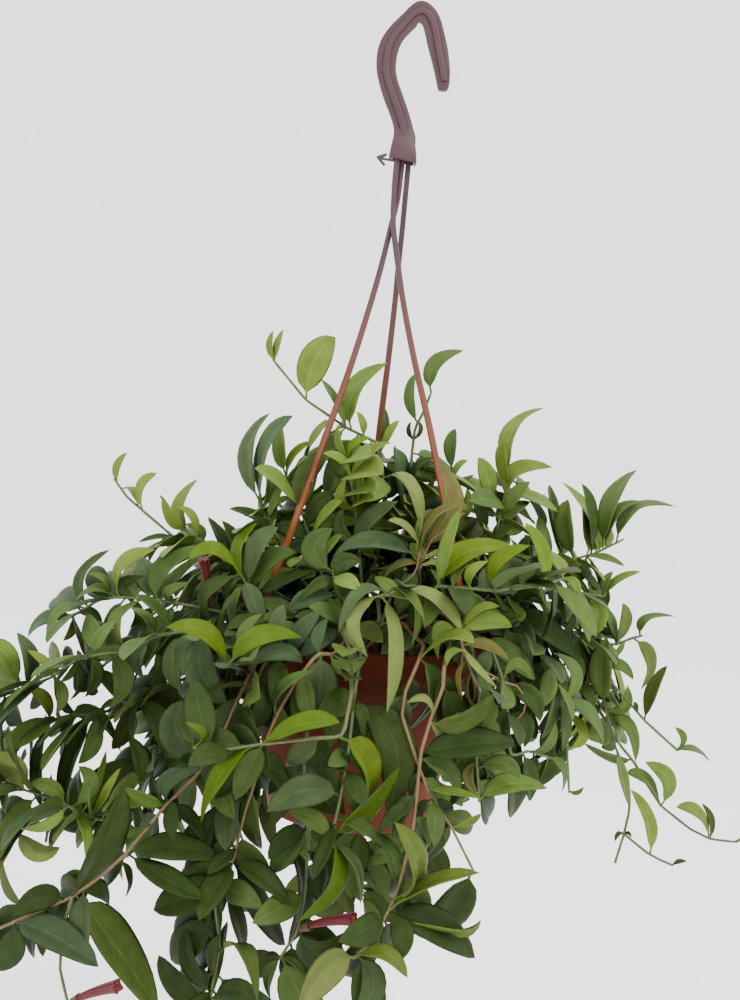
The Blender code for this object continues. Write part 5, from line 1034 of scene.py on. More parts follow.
def tries(stem, spec, index):
    """The leaf as first wanted, then its alternatives, each a little farther from that."""
    if len(spec) == 8:
        long = math.hypot(spec[4] - spec[0], spec[5] - spec[1]) * 0.65
        first = 0.24 * long * (1 if index % 2 else -1)
        for shrink in (1, 0.84):
            for step in (0, 1, -1, 2, -2, 3, -3, 4, -4, 5, -5):
                leaf = seen_leaf(stem, spec, first + step * max(4, 0.13 * long))
                if shrink < 1:
                    tip, middle = leaf.base.lerp(leaf.tip, shrink), leaf.base.lerp(leaf.point(0.5), shrink)
                    leaf = Leaf(leaf.base, middle, tip, leaf.normal, leaf.width * shrink, leaf.kind)
                yield leaf
    else:
        point, along, turn, size, kind, droop = spec
        for shrink in (1, 0.8, 0.6):
            for step in TURNS:
                yield ruled_leaf(point, along, turn + step, size * shrink, kind, droop)


def place_leaf(stem, spec, index, obstacles, marks):
    """The first leaf of the tries that is clear of all, hides no mark and stays off its own stem's leaves."""
    second, third = None, None
    for leaf in tries(stem, spec, index):
        room = leaf.room(LEAF_CLEARANCE, 2 * LEAF_CLEARANCE)
        if in_soil(room) or obstacles.hit(room, skip=stem.name):
            continue
        if hides(leaf.shape(), marks):
            third = third or leaf
            continue
        if not obstacles.hit(leaf.room(0.1 * MM, 0.2 * MM, start=0.16), only=stem.name):
            break
        second = second or leaf
    else:
        leaf = second or third
    if leaf:
        obstacles.add(stem.name, leaf.shape())
    return leaf


def box_between(x, y, z):
    """A box from its sides in mm."""
    return sweep([[Vector((a * MM, b * MM, c * MM)) for a, b in
                   ((x[0], y[0]), (x[1], y[0]), (x[1], y[1]), (x[0], y[1]))] for c in z])


def plate(outline, y, depth):
    """A flat piece from its outline as (x, z) in mm, anticlockwise seen from the viewer's side."""
    points = [Vector((x * MM, y + side * depth / 2, z * MM)) for side in (-1, 1) for x, z in outline]
    count = len(outline)
    faces = [tuple(range(count)), tuple(reversed(range(count, 2 * count)))]
    faces += [(i, i + count, (i + 1) % count + count, (i + 1) % count) for i in range(count)]
    return Shape(points, faces)


def hook_rib(points):
    """The rib along the middle of the hook, which stands out of both its faces."""
    rings = []
    for p, (t, _, _) in zip(points, frames_along(points)):
        w, d = Vector((0, 1, 0)).cross(t).normalized() * HOOK_RIB_WIDTH / 2, Vector((0, HOOK_RIB / 2, 0))
        rings.append([p - w - d, p + w - d, p + w + d, p - w + d])
    return sweep(rings)


def collar_block():
    """The solid collar at the hook's foot."""
    rings = []
    for z, middle, width, depth in COLLAR_RINGS:
        w, d = width / 2, depth / 2
        rings.append([Vector((middle + a * w, b * d, z - COLLAR_SLANT * a * w)) * MM
                      for a, b in ((-1, -1), (-1, 1), (1, 1), (1, -1))])
    return sweep(rings)


def strap_course(name):
    """Points of the strap's middle, from the collar to its head under the rim, with how far it is turned."""
    x, y = STRAP_TOPS[name]
    end = around(STRAP_AZIMUTHS[name], SLOT_RADIUS, 0)
    foot, under, low = (Vector((end.x, end.y, RIM_Z + z * MM)) for z in (9, 2, -3))
    course = [(Vector((x * MM, y * MM, -88.5 * MM)), 0.0)]
    for across, down in STRAP_LINES[name]:
        share = max(0.0, (down - 200) / (in_view(foot)[1] - 200))
        course.append((at(across, down, -y - (foot.y / MM - y) * share), share))
    return course + [(foot, 1.0), (under, 1.0), (low, 1.0)]


def strap_axes(name, share):
    """Across and outward directions of the strap, turned from the viewer's to the pot's side on its way."""
    outside = away(STRAP_AZIMUTHS[name])
    front = Vector((0, -1, 0)) if outside.y < 0.1 else Vector((0, 1, 0))
    facing = front.lerp(outside, share).normalized()
    return facing.cross(Vector((0, 0, 1))), facing


def strap_skin(name, line, section):
    """The strap's skin along a line of (point, how far it is turned)."""
    rings = []
    for p, share in line:
        across, facing = strap_axes(name, share)
        half = (STRAP_WIDTH + STRAP_WIDENING * share ** 1.5) / 2
        middle = p - facing * (STRAP_THICKNESS + STRAP_RIDGE) / 2
        rings.append([middle + across * (u * half) + facing * v for u, v in section])
    return sweep(outward(rings))


def fine_strap(name):
    """The strap with a smooth course and rounded edges, in the place of the plain one."""
    course, line = strap_course(name), []
    for p in smooth([p for p, _ in course], 7 * MM):
        i = next(i for i, (q, _) in enumerate(course)
                 if i and (q.z <= p.z + 0.01 * MM or i == len(course) - 1))
        (a, first), (b, last) = course[i - 1], course[i]
        line.append((p, first + (last - first) * min(1.0, max(0.0, (a.z - p.z) / (a.z - b.z)))))
    middle, side = (0, (STRAP_THICKNESS + STRAP_RIDGE) / MM), HALF_SECTION_MM
    section = (-side[0][0], side[0][1]), *side, middle, *((-u, v) for u, v in side[:0:-1])
    return strap_skin(name, line, [(u, v * MM) for u, v in section])


def strap_head(name):
    """The arrow head that holds the strap under the rim."""
    across, facing = strap_axes(name, 1)
    centre = strap_course(name)[-1][0]
    return sweep(outward([[centre + across * a * MM + Vector((0, 0, b * MM)) + facing * side * MM
                           for a, b in STRAP_HEAD_MM] for side in (-1.2, 1.2)]))


def stud():
    """A short round stud on the side of the left strap that faces the viewer."""
    near = min((p for p, _ in strap_course("left")), key=lambda p: abs(in_view(p)[1] - STUD[1]))
    centre = at(*STUD, -near.y / MM)
    return tube([centre + FORWARD * 2 * MM, centre - FORWARD * 2.1 * MM], [0.9 * MM, 0.8 * MM], 10)


def slot_cutter(azimuth):
    """The room of a slot in the rim's flange."""
    facing = away(azimuth)
    w, d = facing.cross(Vector((0, 0, 1))) * SLOT_LENGTH / 2, facing * SLOT_WIDTH / 2
    middles = [around(azimuth, SLOT_RADIUS, RIM_Z) + Vector((0, 0, z * MM)) for z in (-5, 3)]
    return sweep(outward([[c - w - d, c - w + d, c + w + d, c + w - d] for c in middles]))


def drain_cutter(index):
    """The room of a drain hole."""
    centre = around(360 * (index + 0.5) / DRAIN_HOLES, DRAIN_CIRCLE, 0)
    turns = [math.pi * k / 4 for k in range(8)]
    return sweep([[centre + Vector((DRAIN_RADIUS * math.cos(a), DRAIN_RADIUS * math.sin(a), RIM_Z + z * MM))
                   for a in turns] for z in (-127, -119)])


def bloom_shape(base, mouth, grow=0.0):
    """A curved tube of a flower, out of its cup."""
    chord = mouth - base
    lift = (Vector((0, 0, 1)) - chord.normalized() * chord.normalized().z) * chord.length * 0.1
    points = [bent(base, (base + mouth) / 2 + lift, mouth, t) for t, _ in BLOOM_RINGS]
    return tube(points, [r * MM for _, r in BLOOM_RINGS], 6, grow)


def place_bloom(name, base, mouth, stem, obstacles):
    """The flower a gap's width off its stem."""
    start, end = at(*base), at(*mouth)
    lines = [stem.points[2:-1]] + [line[1:] for line in stem.twigs]
    near = min(spots_on(lines), key=lambda p: (p - start).length)
    way = (end - near).normalized()
    for step in range(60):
        move = way * (1.2 + 0.15 * step) * MM
        if not obstacles.hit(bloom_shape(near + move, end + move, 0.3 * MM)):
            shape = bloom_shape(near + move, end + move)
            obstacles.add(name, shape)
            return shape
    raise RuntimeError("no place for " + name)


def hidden_stems(chance):
    """Sprays behind the pot, which the view doesn't show, as (name, foot, route)."""
    sprays = []
    for i in range(BACK_TRAILS):
        azimuth = 203 + 134 * (i + 0.5) / BACK_TRAILS + chance.uniform(-3, 3)
        drop = 62 + 190 * max(0.0, math.cos(math.radians(2.2 * (azimuth - 270)))) * chance.uniform(0.7, 1.1)
        rise = chance.uniform(22, 52)
        swing = chance.uniform(-5, 5)
        route = [around(azimuth, 70 * MM, RIM_Z + rise * MM),
                 around(azimuth + swing, chance.uniform(104, 114) * MM, RIM_Z + rise * 0.75 * MM)]
        reach, z = 122, 0
        while z < drop:
            z += 46
            reach += chance.uniform(3, 11)
            route.append(around(azimuth + swing * (1 + z / 80), reach * MM, RIM_Z - (z - 30) * MM))
        sprays.append(("spray_back_%d" % (i + 1), (azimuth, chance.uniform(50, 62)), route))
    for i in range(BACK_SHOOTS):
        azimuth = 232 + 38 * i + chance.uniform(-5, 5)
        high = chance.uniform(66, 100)
        route = [around(azimuth, 44 * MM, RIM_Z + 0.5 * high * MM),
                 around(azimuth, 62 * MM, RIM_Z + high * MM)]
        sprays.append(("shoot_back_%d" % (i + 1), (azimuth, chance.uniform(16, 34)), route))
    return sprays


def grow():
    """Every stem, leaf and flower in its place: (stems, {stem name: leaves}, flowers, obstacles)."""
    obstacles = Obstacles()
    obstacles.add("pot", turned(POT_PROFILE, POT_SIDES))
    for name in STRAP_AZIMUTHS:
        obstacles.add("strap_" + name, strap_skin(name, strap_course(name), PLAIN_SECTION))
    chance = random.Random(SEED)
    free = slots()
    plan = [("spray_%02d" % (i + 1), foot, [at(*p) for p in route], leaves)
            for i, (foot, route, leaves) in enumerate(STEMS)]
    plan += [(*hidden, None) for hidden in hidden_stems(chance)]
    stems = [place_stem(name, take_slot(free, *foot), route, leaves, obstacles, chance)
             for name, foot, route, leaves in plan]
    for number, course in TWIGS:
        line = stems[number].branch(course)
        stems[number].twigs.append(line)
        obstacles.add(stems[number].name, tube(line, [STEM_TIP_RADIUS] * len(line)))
    blooms = {name: place_bloom(name, base, mouth, stems[number], obstacles)
              for name, base, mouth, number in BLOOMS}
    wanted = [(stem, i, spec) for stem in stems
              for i, spec in enumerate(ruled_specs(stem, chance) if stem.leaves is None else stem.leaves)]
    # young leaves first, then the largest that show, then the hidden ones
    seen = [w for w in wanted if len(w[2]) == 8]
    seen.sort(key=lambda w: (w[2][7] != YOUNG, -math.hypot(w[2][4] - w[2][0], w[2][5] - w[2][1]) * w[2][6]))
    leaves = {stem.name: [] for stem in stems}
    marks = strap_marks()
    for stem, i, spec in seen + [w for w in wanted if len(w[2]) != 8]:
        leaf = place_leaf(stem, spec, i, obstacles, marks)
        if leaf:
            leaves[stem.name].append(leaf)
    return stems, leaves, blooms, obstacles


def in_cover(x, y):
    """Whether a point of the view lies in the leaf cover and in none of its gaps."""
    inside = False
    for (x0, y0), (x1, y1) in zip(COVER, COVER[1:] + COVER[:1]):
        if (y0 > y) != (y1 > y) and x < x0 + (y - y0) * (x1 - x0) / (y1 - y0):
            inside = not inside
    return inside and all((x - a) ** 2 + (y - b) ** 2 > r * r for a, b, r in GAPS)


def in_reach(leaf):
    """Whether the leaf keeps to the room that the part takes up, or nearly."""
    low, high = PACKED_BOX
    return all(low[i] - FILL_REACH < leaf.point(t)[i] < high[i] + FILL_REACH
               for t in (0.5, 0.8, 1.0) for i in range(3))


def fill_at(stem, point, along, turn, size, kind, droop, marks, obstacles):
    """The largest of the tried leaves that touches nothing and hides nothing."""
    for shrink, sag in ((1, 0), (1, 0.5), (0.8, 0), (0.8, 0.6), (0.62, 0.2)):
        for step in FILL_TURNS:
            leaf = fill_leaf(point, along, turn + step, size * shrink, kind, droop + sag)
            covered = all(in_cover(*in_view(leaf.point(t))) for t in (0.45, 0.75, 1.0))
            if not covered or hides(leaf.shape(), marks):
                continue
            room = leaf.room(LEAF_CLEARANCE, 2 * LEAF_CLEARANCE)
            if not in_reach(leaf) or in_soil(room) or obstacles.hit(room, skip=stem.name):
                continue
            if not obstacles.hit(leaf.room(0.1 * MM, 0.2 * MM, start=0.2), only=stem.name):
                return leaf
    return None


def fill_leaves(stems, leaves, obstacles, settings):
    """Adds the leaves between those already there, behind them and inside the cover that the view shows."""
    chance = random.Random(SEED + 1)
    marks = strap_marks()
    marks += marked([leaf.point(t) for own in leaves.values() for leaf in own
                     for t in (0.25, 0.5, 0.7, 0.85)])
    for _, base, mouth, _ in BLOOMS:
        marks += marked([at(*base).lerp(at(*mouth), t) for t in (0.2, 0.4, 0.6, 0.8, 1.0)])
    for number, first, last in SEEN_BARK:
        line = stems[number].points
        marks += marked([a.lerp(b, k / 4) for a, b in zip(line, line[1:]) for k in range(4)], first, last)
    added = {stem.name: [] for stem in stems}
    for i, (number, spec) in enumerate(EXTRA):
        leaf = place_leaf(stems[number], spec, i, obstacles, marks)
        if leaf:
            added[stems[number].name].append(leaf)
    for stem in stems:
        for point, along, turn in pairs_along(stem, chance, FILL_START, settings.fill_gap, (0.85, 1.15)):
            x, y = in_view(point)
            # painted light and shade: lighter kinds where the light falls in the view, darker kinds in the
            # shade
            kinds = BRIGHT_KINDS if y < BRIGHT_ABOVE or x > BRIGHT_RIGHT else SHADED_KINDS
            for side in (0, math.pi):
                size = chance.uniform(settings.fill_small, settings.fill_large)
                kind = chance.choice(kinds)
                droop = chance.uniform(-0.1, 0.6)
                leaf = fill_at(stem, point, along, turn + side, size, kind, droop, marks, obstacles)
                if leaf:
                    obstacles.add(stem.name, leaf.shape())
                    added[stem.name].append(leaf)
    return added


@functools.lru_cache(maxsize=None)
def growth():
    """The plant, grown once, with its fill leaves added: (stems, leaves, blooms)."""
    stems, leaves, blooms, obstacles = grow()
    added = fill_leaves(stems, leaves, obstacles, bpy.context.scene.basket_foliage)
    return stems, {stem.name: leaves[stem.name] + added[stem.name] for stem in stems}, blooms


def linear(code):
    """Linear colour from an sRGB hex code."""
    values = [int(code[i:i + 2], 16) / 255 for i in (0, 2, 4)]
    return [v / 12.92 if v <= 0.04045 else ((v + 0.055) / 1.055) ** 2.4 for v in values] + [1]


def colour_prop(name, text, code):
    return FloatVectorProperty(name=name, description=text, subtype="COLOR", size=4, min=0, max=1,
                               default=linear(code))


def length_prop(name, text, millimetres):
    return FloatProperty(name=name, description=text, default=millimetres * MM, unit="LENGTH", precision=5)


class FoliageSettings(bpy.types.PropertyGroup):
    blade: length_prop("Blade", "Thickness of a leaf at its midrib", 1.0)
    fold: FloatProperty(name="Fold", default=0.3, min=0, max=1, description="How far a leaf's edges stand "
                        "over its midrib, as a share of its half width")
    wave: length_prop("Wave", "Height of the waves along a leaf's edge", 0.35)
    fill_gap: length_prop("Fill spacing", "Distance along a stem between the added pairs of leaves", 10.5)
    fill_small: length_prop("Smallest fill leaf", "Length of the smallest added leaf", 40)
    fill_large: length_prop("Largest fill leaf", "Length of the largest added leaf", 66)
    young: colour_prop("Young leaf", "Colour of the youngest leaves", "3D4E0E")
    light: colour_prop("Light leaf", "Colour of the light leaves", "4B5B22")
    middle: colour_prop("Middle leaf", "Colour of most leaves", "394820")
    # the dark colour is painted shade, and the grey of the old leaf is partly its own and partly painted sheen
    dark: colour_prop("Dark leaf", "Colour of the leaves in the shade", "273415")
    glossy: colour_prop("Old leaf", "Colour of the old leaves with a grey sheen", "303D24")
    pale: colour_prop("Underside", "Colour of the leaves that show their underside", "535C2E")
    dried: colour_prop("Dried leaf", "Colour of the drying leaves", "454320")
    bark: colour_prop("Bark", "Colour of the old stems", "5E4828")
    green: colour_prop("Green stem", "Colour of the young stems", "3A4A1C")


class PotSettings(bpy.types.PropertyGroup):
    sides: IntProperty(name="Sides", description="Sides of the turned pot", default=96, min=32, max=256)
    colour: colour_prop("Pot", "Colour of the pot's plastic", "5A2A18")
    crumbs: IntProperty(name="Crumbs", description="Crumbs of peat on the soil", default=900, min=0, max=3000)
    crumb: length_prop("Crumb size", "Radius of a middling crumb", 1.1)
    soil: colour_prop("Soil", "Colour of the moist peat", "1C1612")


class HangerSettings(bpy.types.PropertyGroup):
    edge: length_prop("Edge", "Rounding of the hook's edges", 0.9)
    # hook and straps are one plastic; the hook's greyer colour is painted haze of the backlight
    low: colour_prop("Strap", "Colour of the straps near the pot", "743E1C")
    high: colour_prop("Hook", "Colour of the hook", "402E32")


class StageSettings(bpy.types.PropertyGroup):
    floor_drop: length_prop("Floor", "Distance of the floor under the hook's seat", 860)
    floor: colour_prop("Floor", "Colour of the floor", "FFFFFF")
    key: FloatProperty(name="Key light", description="Power of the soft key light", default=56, unit="POWER")


def feed(tree, made, inputs):
    """Links or sets a node's inputs."""
    for key, value in inputs.items():
        if isinstance(value, bpy.types.NodeSocket):
            tree.links.new(value, made.inputs[key])
        else:
            made.inputs[key].default_value = value


def node(tree, kind, inputs=None, **settings):
    """Adds a node with its settings, and links or sets its inputs."""
    made = tree.nodes.new(kind)
    for name, value in settings.items():
        setattr(made, name, value)
    feed(tree, made, inputs or {})
    return made


def maths(tree, operation, *values):
    """A Math node, or a chain of them where more than two values are added or multiplied."""
    made = node(tree, "ShaderNodeMath", dict(enumerate(values[:2])), operation=operation).outputs[0]
    return maths(tree, operation, made, *values[2:]) if len(values) > 2 else made


def ramp(tree, value, low, high, first, last):
    """The value, carried over from the range low to high to the range first to last."""
    return node(tree, "ShaderNodeMapRange", {0: value, 1: low, 2: high, 3: first, 4: last}).outputs[0]


def mix(tree, share, first, last):
    """A colour between the two."""
    return node(tree, "ShaderNodeMix", {0: share, 6: first, 7: last}, data_type="RGBA").outputs[2]


def scaled(tree, colour, factor):
    """A colour or a direction times a number."""
    return node(tree, "ShaderNodeVectorMath", {0: colour, "Scale": factor}, operation="SCALE").outputs[0]


def attribute(tree, name, output="Fac"):
    return node(tree, "ShaderNodeAttribute", attribute_name=name).outputs[output]


def place(tree):
    return node(tree, "ShaderNodeTexCoord").outputs["Object"]


def noise(tree, scale, detail):
    """Soft patches, about as many to the metre as the scale."""
    made = node(tree, "ShaderNodeTexNoise", {"Vector": place(tree), "Scale": scale, "Detail": detail})
    return made.outputs["Fac"]


def new_material(name):
    made = bpy.data.materials.new(name)
    made.use_nodes = True
    return made, made.node_tree


def finish(tree, colour, roughness, more=None, relief=None, strength=0.0, depth=0.0):
    """Gives the material's shader its colour, its roughness, what else is named, and relief to that depth."""
    values = {"Base Color": colour, "Roughness": roughness, **(more or {})}
    if relief:
        values["Normal"] = node(tree, "ShaderNodeBump", {"Height": relief, "Strength": strength,
                                                         "Distance": depth}).outputs[0]
    feed(tree, tree.nodes["Principled BSDF"], values)


def leaf_material():
    """Waxy leaf of a lipstick plant: thick and smooth, with a pale midrib, faint veins, a matt underside."""
    made, tree = new_material("waxy_lipstick_plant_leaf")
    do = functools.partial(maths, tree)
    under, off = attribute(tree, "underside"), do("ABSOLUTE", attribute(tree, "across_leaf"))
    # blotches some 9 mm wide
    tone = ramp(tree, noise(tree, 110.0, 3.0), 0.3, 0.7, 0.84, 1.14)
    body = scaled(tree, attribute(tree, "leaf_colour", "Color"), tone)
    # midrib about 0.5 mm wide, lighter than the blade, and a thin edge painted lighter as light shining through
    # it
    rib = ramp(tree, off, 0.02, 0.09, 0.6, 0.0)
    rim = ramp(tree, off, 0.93, 1.0, 0.0, 0.7)
    # side veins, four or five a side, sunk and barely lighter
    slant = do("SUBTRACT", attribute(tree, "along_leaf"), do("MULTIPLY", off, 0.2))
    vein = do("FRACT", do("MULTIPLY", slant, 6.5))
    veined = ramp(tree, do("ABSOLUTE", do("SUBTRACT", vein, 0.5)), 0.0, 0.09, 0.12, 0.0)
    blade = mix(tree, do("ADD", rib, rim, veined), body, scaled(tree, body, 1.55))
    both = mix(tree, under, blade, mix(tree, 0.4, blade, linear("5A6838")))
    wax = noise(tree, 420.0, 2.0)
    rough = do("ADD", ramp(tree, wax, 0.3, 0.7, 0.42, 0.56), do("MULTIPLY", under, 0.2))
    relief = do("SUBTRACT", wax, do("ADD", do("MULTIPLY", veined, 3.0), rib))
    finish(tree, both, rough, {"Specular IOR Level": 0.06}, relief, 0.25, 0.3 * MM)
    return made


def stem_material(settings):
    """Stem of a lipstick plant: green and smooth when young, tan and lightly ridged bark when old."""
    made, tree = new_material("green_and_woody_stem")
    do = functools.partial(maths, tree)
    # patches of cork some 4 mm long
    patch = noise(tree, 260.0, 4.0)
    old = do("ADD", attribute(tree, "age"), do("MULTIPLY", do("SUBTRACT", patch, 0.5), 0.5))
    body = mix(tree, ramp(tree, old, 0.3, 0.7, 0.0, 1.0), settings.green, settings.bark)
    finish(tree, scaled(tree, body, ramp(tree, patch, 0.3, 0.7, 0.72, 1.15)), 0.6, None, patch, 0.6, 0.3 * MM)
    return made


def plastic_material(name, low, high, bottom, top, roughness, shine):
    """Moulded polypropylene: an even colour that greys towards the top with painted backlight haze, faint flow
    marks and a satin skin.
    """
    made, tree = new_material(name)
    height = node(tree, "ShaderNodeSeparateXYZ", {0: place(tree)}).outputs["Z"]
    # painted light: the colour goes from low to high up the height, the greyer top standing for the backlight's
    # haze
    body = mix(tree, ramp(tree, height, bottom, top, 0.0, 1.0), low, high)
    # flow marks about 25 mm across, and a grain finer than a millimetre
    flow, grain = noise(tree, 40.0, 4.0), noise(tree, 1500.0, 1.0)
    finish(tree, scaled(tree, body, ramp(tree, flow, 0.3, 0.7, 0.9, 1.08)),
           ramp(tree, flow, 0.3, 0.7, roughness - 0.06, roughness + 0.06), {"Specular IOR Level": shine},
           grain, 0.15, 0.2 * MM)
    return made


def soil_material(settings):
    """Moist peat: near black, with brown fibres and no gloss."""
    made, tree = new_material("moist_peat")
    lump = noise(tree, 300.0, 6.0)
    fibre = node(tree, "ShaderNodeTexVoronoi", {"Vector": place(tree), "Scale": 520.0}).outputs["Distance"]
    body = mix(tree, ramp(tree, lump, 0.4, 0.68, 0.0, 1.0), settings.soil, linear("3A2A1C"))
    finish(tree, body, 0.95, None, maths(tree, "ADD", lump, fibre), 0.9, 1.2 * MM)
    return made


def petal_material(name, code, tip):
    """Downy petal: a soft velvet skin, in soft patches between its two colours."""
    made, tree = new_material(name)
    down = noise(tree, 900.0, 3.0)
    body = mix(tree, ramp(tree, down, 0.3, 0.75, 0.0, 1.0), linear(code), linear(tip))
    finish(tree, body, 0.5, {"Sheen Weight": 0.08, "Sheen Roughness": 0.4, "Specular IOR Level": 0.25},
           down, 0.4, 0.3 * MM)
    return made


def paper_material(settings):
    """Matt white paper for the floor, a very little uneven."""
    made, tree = new_material("matt_paper_floor")
    finish(tree, mix(tree, noise(tree, 3.0, 2.0), settings.floor, linear("F8F8F6")), 0.9)
    return made


def new_tree(name, geometry, values, result):
    """A Geometry Nodes tree with its named inputs, a geometry and the values, and its named output."""
    tree = bpy.data.node_groups.new(name, "GeometryNodeTree")
    tree.interface.new_socket(name=geometry, in_out="INPUT", socket_type="NodeSocketGeometry")
    for label, value in values.items():
        kind = "NodeSocketInt" if isinstance(value, int) else "NodeSocketFloat"
        tree.interface.new_socket(name=label, in_out="INPUT", socket_type=kind).default_value = value
    tree.interface.new_socket(name=result, in_out="OUTPUT", socket_type="NodeSocketGeometry")
    return tree, node(tree, "NodeGroupInput").outputs


def spray_tree(leaf, bark):
    """Grows stems and leaves along their lines, from what the attributes of the points say."""
    tree, given = new_tree("Leafy spray", "Lines", {"Fold": 0.3, "Wave": 0.4 * MM, "Blade": 1.0 * MM,
                                                    "Knots": 0.14, "Bend": 6.0 * MM}, "Spray")
    do = functools.partial(maths, tree)

    def add(kind, inputs=None, **settings):
        return node(tree, kind, inputs, **settings).outputs[0]

    def read(name, kind="FLOAT"):
        made = node(tree, "GeometryNodeInputNamedAttribute", {"Name": name}, data_type=kind)
        return made.outputs["Attribute"]

    def stored(geometry, name, value):
        return add("GeometryNodeStoreNamedAttribute", {"Geometry": geometry, "Name": name, "Value": value},
                   data_type="FLOAT", domain="POINT")

    parted = node(tree, "GeometryNodeSeparateGeometry", {0: given["Lines"], 1: read("is_leaf", "BOOLEAN")})
    midribs = add("GeometryNodeMeshToCurve", {0: parted.outputs[0]})
    # the ring round a blade: across it from edge to edge, over its face and back under it
    ring = add("GeometryNodeCurvePrimitiveCircle", {"Resolution": 12, "Radius": 1.0})
    turn = do("MULTIPLY", node(tree, "GeometryNodeSplineParameter").outputs["Factor"], 2 * math.pi)
    cosine = do("COSINE", turn)
    spread = do("MULTIPLY", do("SIGN", cosine), do("POWER", do("ABSOLUTE", cosine), 1.35))
    ring = stored(stored(ring, "across_leaf", spread), "over_leaf", do("SINE", turn))
    skin = add("GeometryNodeCurveToMesh", {"Curve": midribs, "Profile Curve": ring, "Fill Caps": True})
    across, over, half = read("across_leaf"), read("over_leaf"), read("half")
    off = do("ABSOLUTE", across)
    # each half of the blade rises from the sunk midrib and rounds over to its edge
    curl = do("ADD", do("SUBTRACT", off, 0.6), do("MULTIPLY", do("SINE", do("MULTIPLY", off, math.pi)), 0.35))
    curl = do("MULTIPLY", given["Fold"], half, read("curl"), curl)
    # the edge waves, and not where the blade is narrow
    ripple = do("SINE", do("ADD", read("phase"), do("MULTIPLY", across, 1.3),
                           do("MULTIPLY", read("along_leaf"), 11.0)))
    wide = ramp(tree, half, 1.2 * MM, 9 * MM, 0.0, 1.0)
    ripple = do("MULTIPLY", given["Wave"], wide, ripple, do("MULTIPLY", off, off))
    body = do("MULTIPLY", given["Blade"], 0.5, read("thick"), over)
    aside = scaled(tree, read("sideways", "FLOAT_VECTOR"), do("MULTIPLY", across, half))
    above = scaled(tree, read("upwards", "FLOAT_VECTOR"), do("ADD", curl, ripple, body))
    spot = add("ShaderNodeVectorMath", {0: aside, 1: above}, operation="ADD")
    spot = add("ShaderNodeVectorMath", {0: spot, 1: read("centre", "FLOAT_VECTOR")}, operation="ADD")
    blades = add("GeometryNodeSetPosition", {"Geometry": skin, "Position": spot})
    blades = stored(add("GeometryNodeFlipFaces", {0: blades}), "underside", do("LESS_THAN", over, -0.01))
    # stems bend at their points with a small radius and are knotty
    stems = add("GeometryNodeMeshToCurve", {0: parted.outputs[1]})
    stems = add("GeometryNodeFilletCurve", {"Curve": stems, "Count": 3, "Radius": given["Bend"],
                                            "Limit Radius": True}, mode="POLY")
    stems = add("GeometryNodeResampleCurve", {"Curve": stems, "Length": 5 * MM}, mode="LENGTH")
    knot = node(tree, "ShaderNodeTexNoise", {"Scale": 190.0, "Detail": 1.0}).outputs["Fac"]
    knots = do("ADD", do("MULTIPLY", given["Knots"], 4.0, do("SUBTRACT", knot, 0.45)), 1.0)
    round_ring = add("GeometryNodeCurvePrimitiveCircle", {"Resolution": 8, "Radius": 1.0})
    rods = add("GeometryNodeCurveToMesh", {"Curve": stems, "Profile Curve": round_ring, "Fill Caps": True,
                                           "Scale": do("MULTIPLY", read("girth"), knots)})
    both = node(tree, "GeometryNodeJoinGeometry")
    for part in (blades, rods):
        tree.links.new(part, both.inputs[0])
    whole = add("GeometryNodeRealizeInstances", {0: both.outputs[0]})
    whole = add("GeometryNodeSetMaterial", {0: whole, "Material": bark})
    whole = add("GeometryNodeSetMaterial", {0: whole, "Selection": read("is_leaf", "BOOLEAN"),
                                            "Material": leaf})
    node(tree, "NodeGroupOutput", {0: whole})
    return tree


def crumb_tree(peat):
    """Strews crumbs of peat over a surface."""
    tree, given = new_tree("Peat crumbs", "Surface", {"Per area": 1.0, "Size": 1.0 * MM, "Seed": 4}, "Crumbs")
    spots = node(tree, "GeometryNodeDistributePointsOnFaces", {
        "Mesh": given["Surface"], "Density": given["Per area"], "Seed": given["Seed"]}).outputs["Points"]
    crumb = node(tree, "GeometryNodeMeshIcoSphere", {"Radius": given["Size"], "Subdivisions": 1}).outputs[0]
    turn, size = (node(tree, "FunctionNodeRandomValue", {"Min": low, "Max": high, "Seed": seed},
                       data_type="FLOAT_VECTOR").outputs[0]
                  for seed, (low, high) in enumerate((CRUMB_TURNS, CRUMB_SHARES), 1))
    strewn = node(tree, "GeometryNodeInstanceOnPoints", {"Points": spots, "Instance": crumb, "Rotation": turn,
                                                         "Scale": size}).outputs[0]
    whole = node(tree, "GeometryNodeRealizeInstances", {0: strewn}).outputs[0]
    whole = node(tree, "GeometryNodeSetMaterial", {0: whole, "Material": peat}).outputs[0]
    node(tree, "NodeGroupOutput", {0: whole})
    return tree


def keep_result(made):
    """Puts what the object's modifiers make of it in the place of its own mesh."""
    graph = bpy.context.evaluated_depsgraph_get()
    mesh = bpy.data.meshes.new_from_object(made.evaluated_get(graph), preserve_all_data_layers=True,
                                           depsgraph=graph)
    made.modifiers.clear()
    made.data = mesh


def run_tree(made, tree, values):
    """Runs the tree on an object and keeps the result as a plain mesh."""
    modifier = made.modifiers.new(tree.name, "NODES")
    modifier.node_group = tree
    for item in tree.interface.items_tree:
        if item.in_out == "INPUT" and item.name in values:
            modifier[item.identifier] = values[item.name]
    keep_result(made)
    if made.data.materials[0] is None:
        made.data.materials.pop(index=0)
    made.data.shade_smooth()
    return made


def blade_width(t):
    """Share of the leaf's half width at t from root to tip: a short stalk, then a pointed oval."""
    x = (t - 0.09) / 0.91
    return 0 if x <= 0 else x ** 0.58 * (1 - x) ** 0.76 / 0.4


def risen(value, start, span):
    """How far the value has risen from the start, as a share of the span."""
    return max(0, min(1, (value - start) / span))


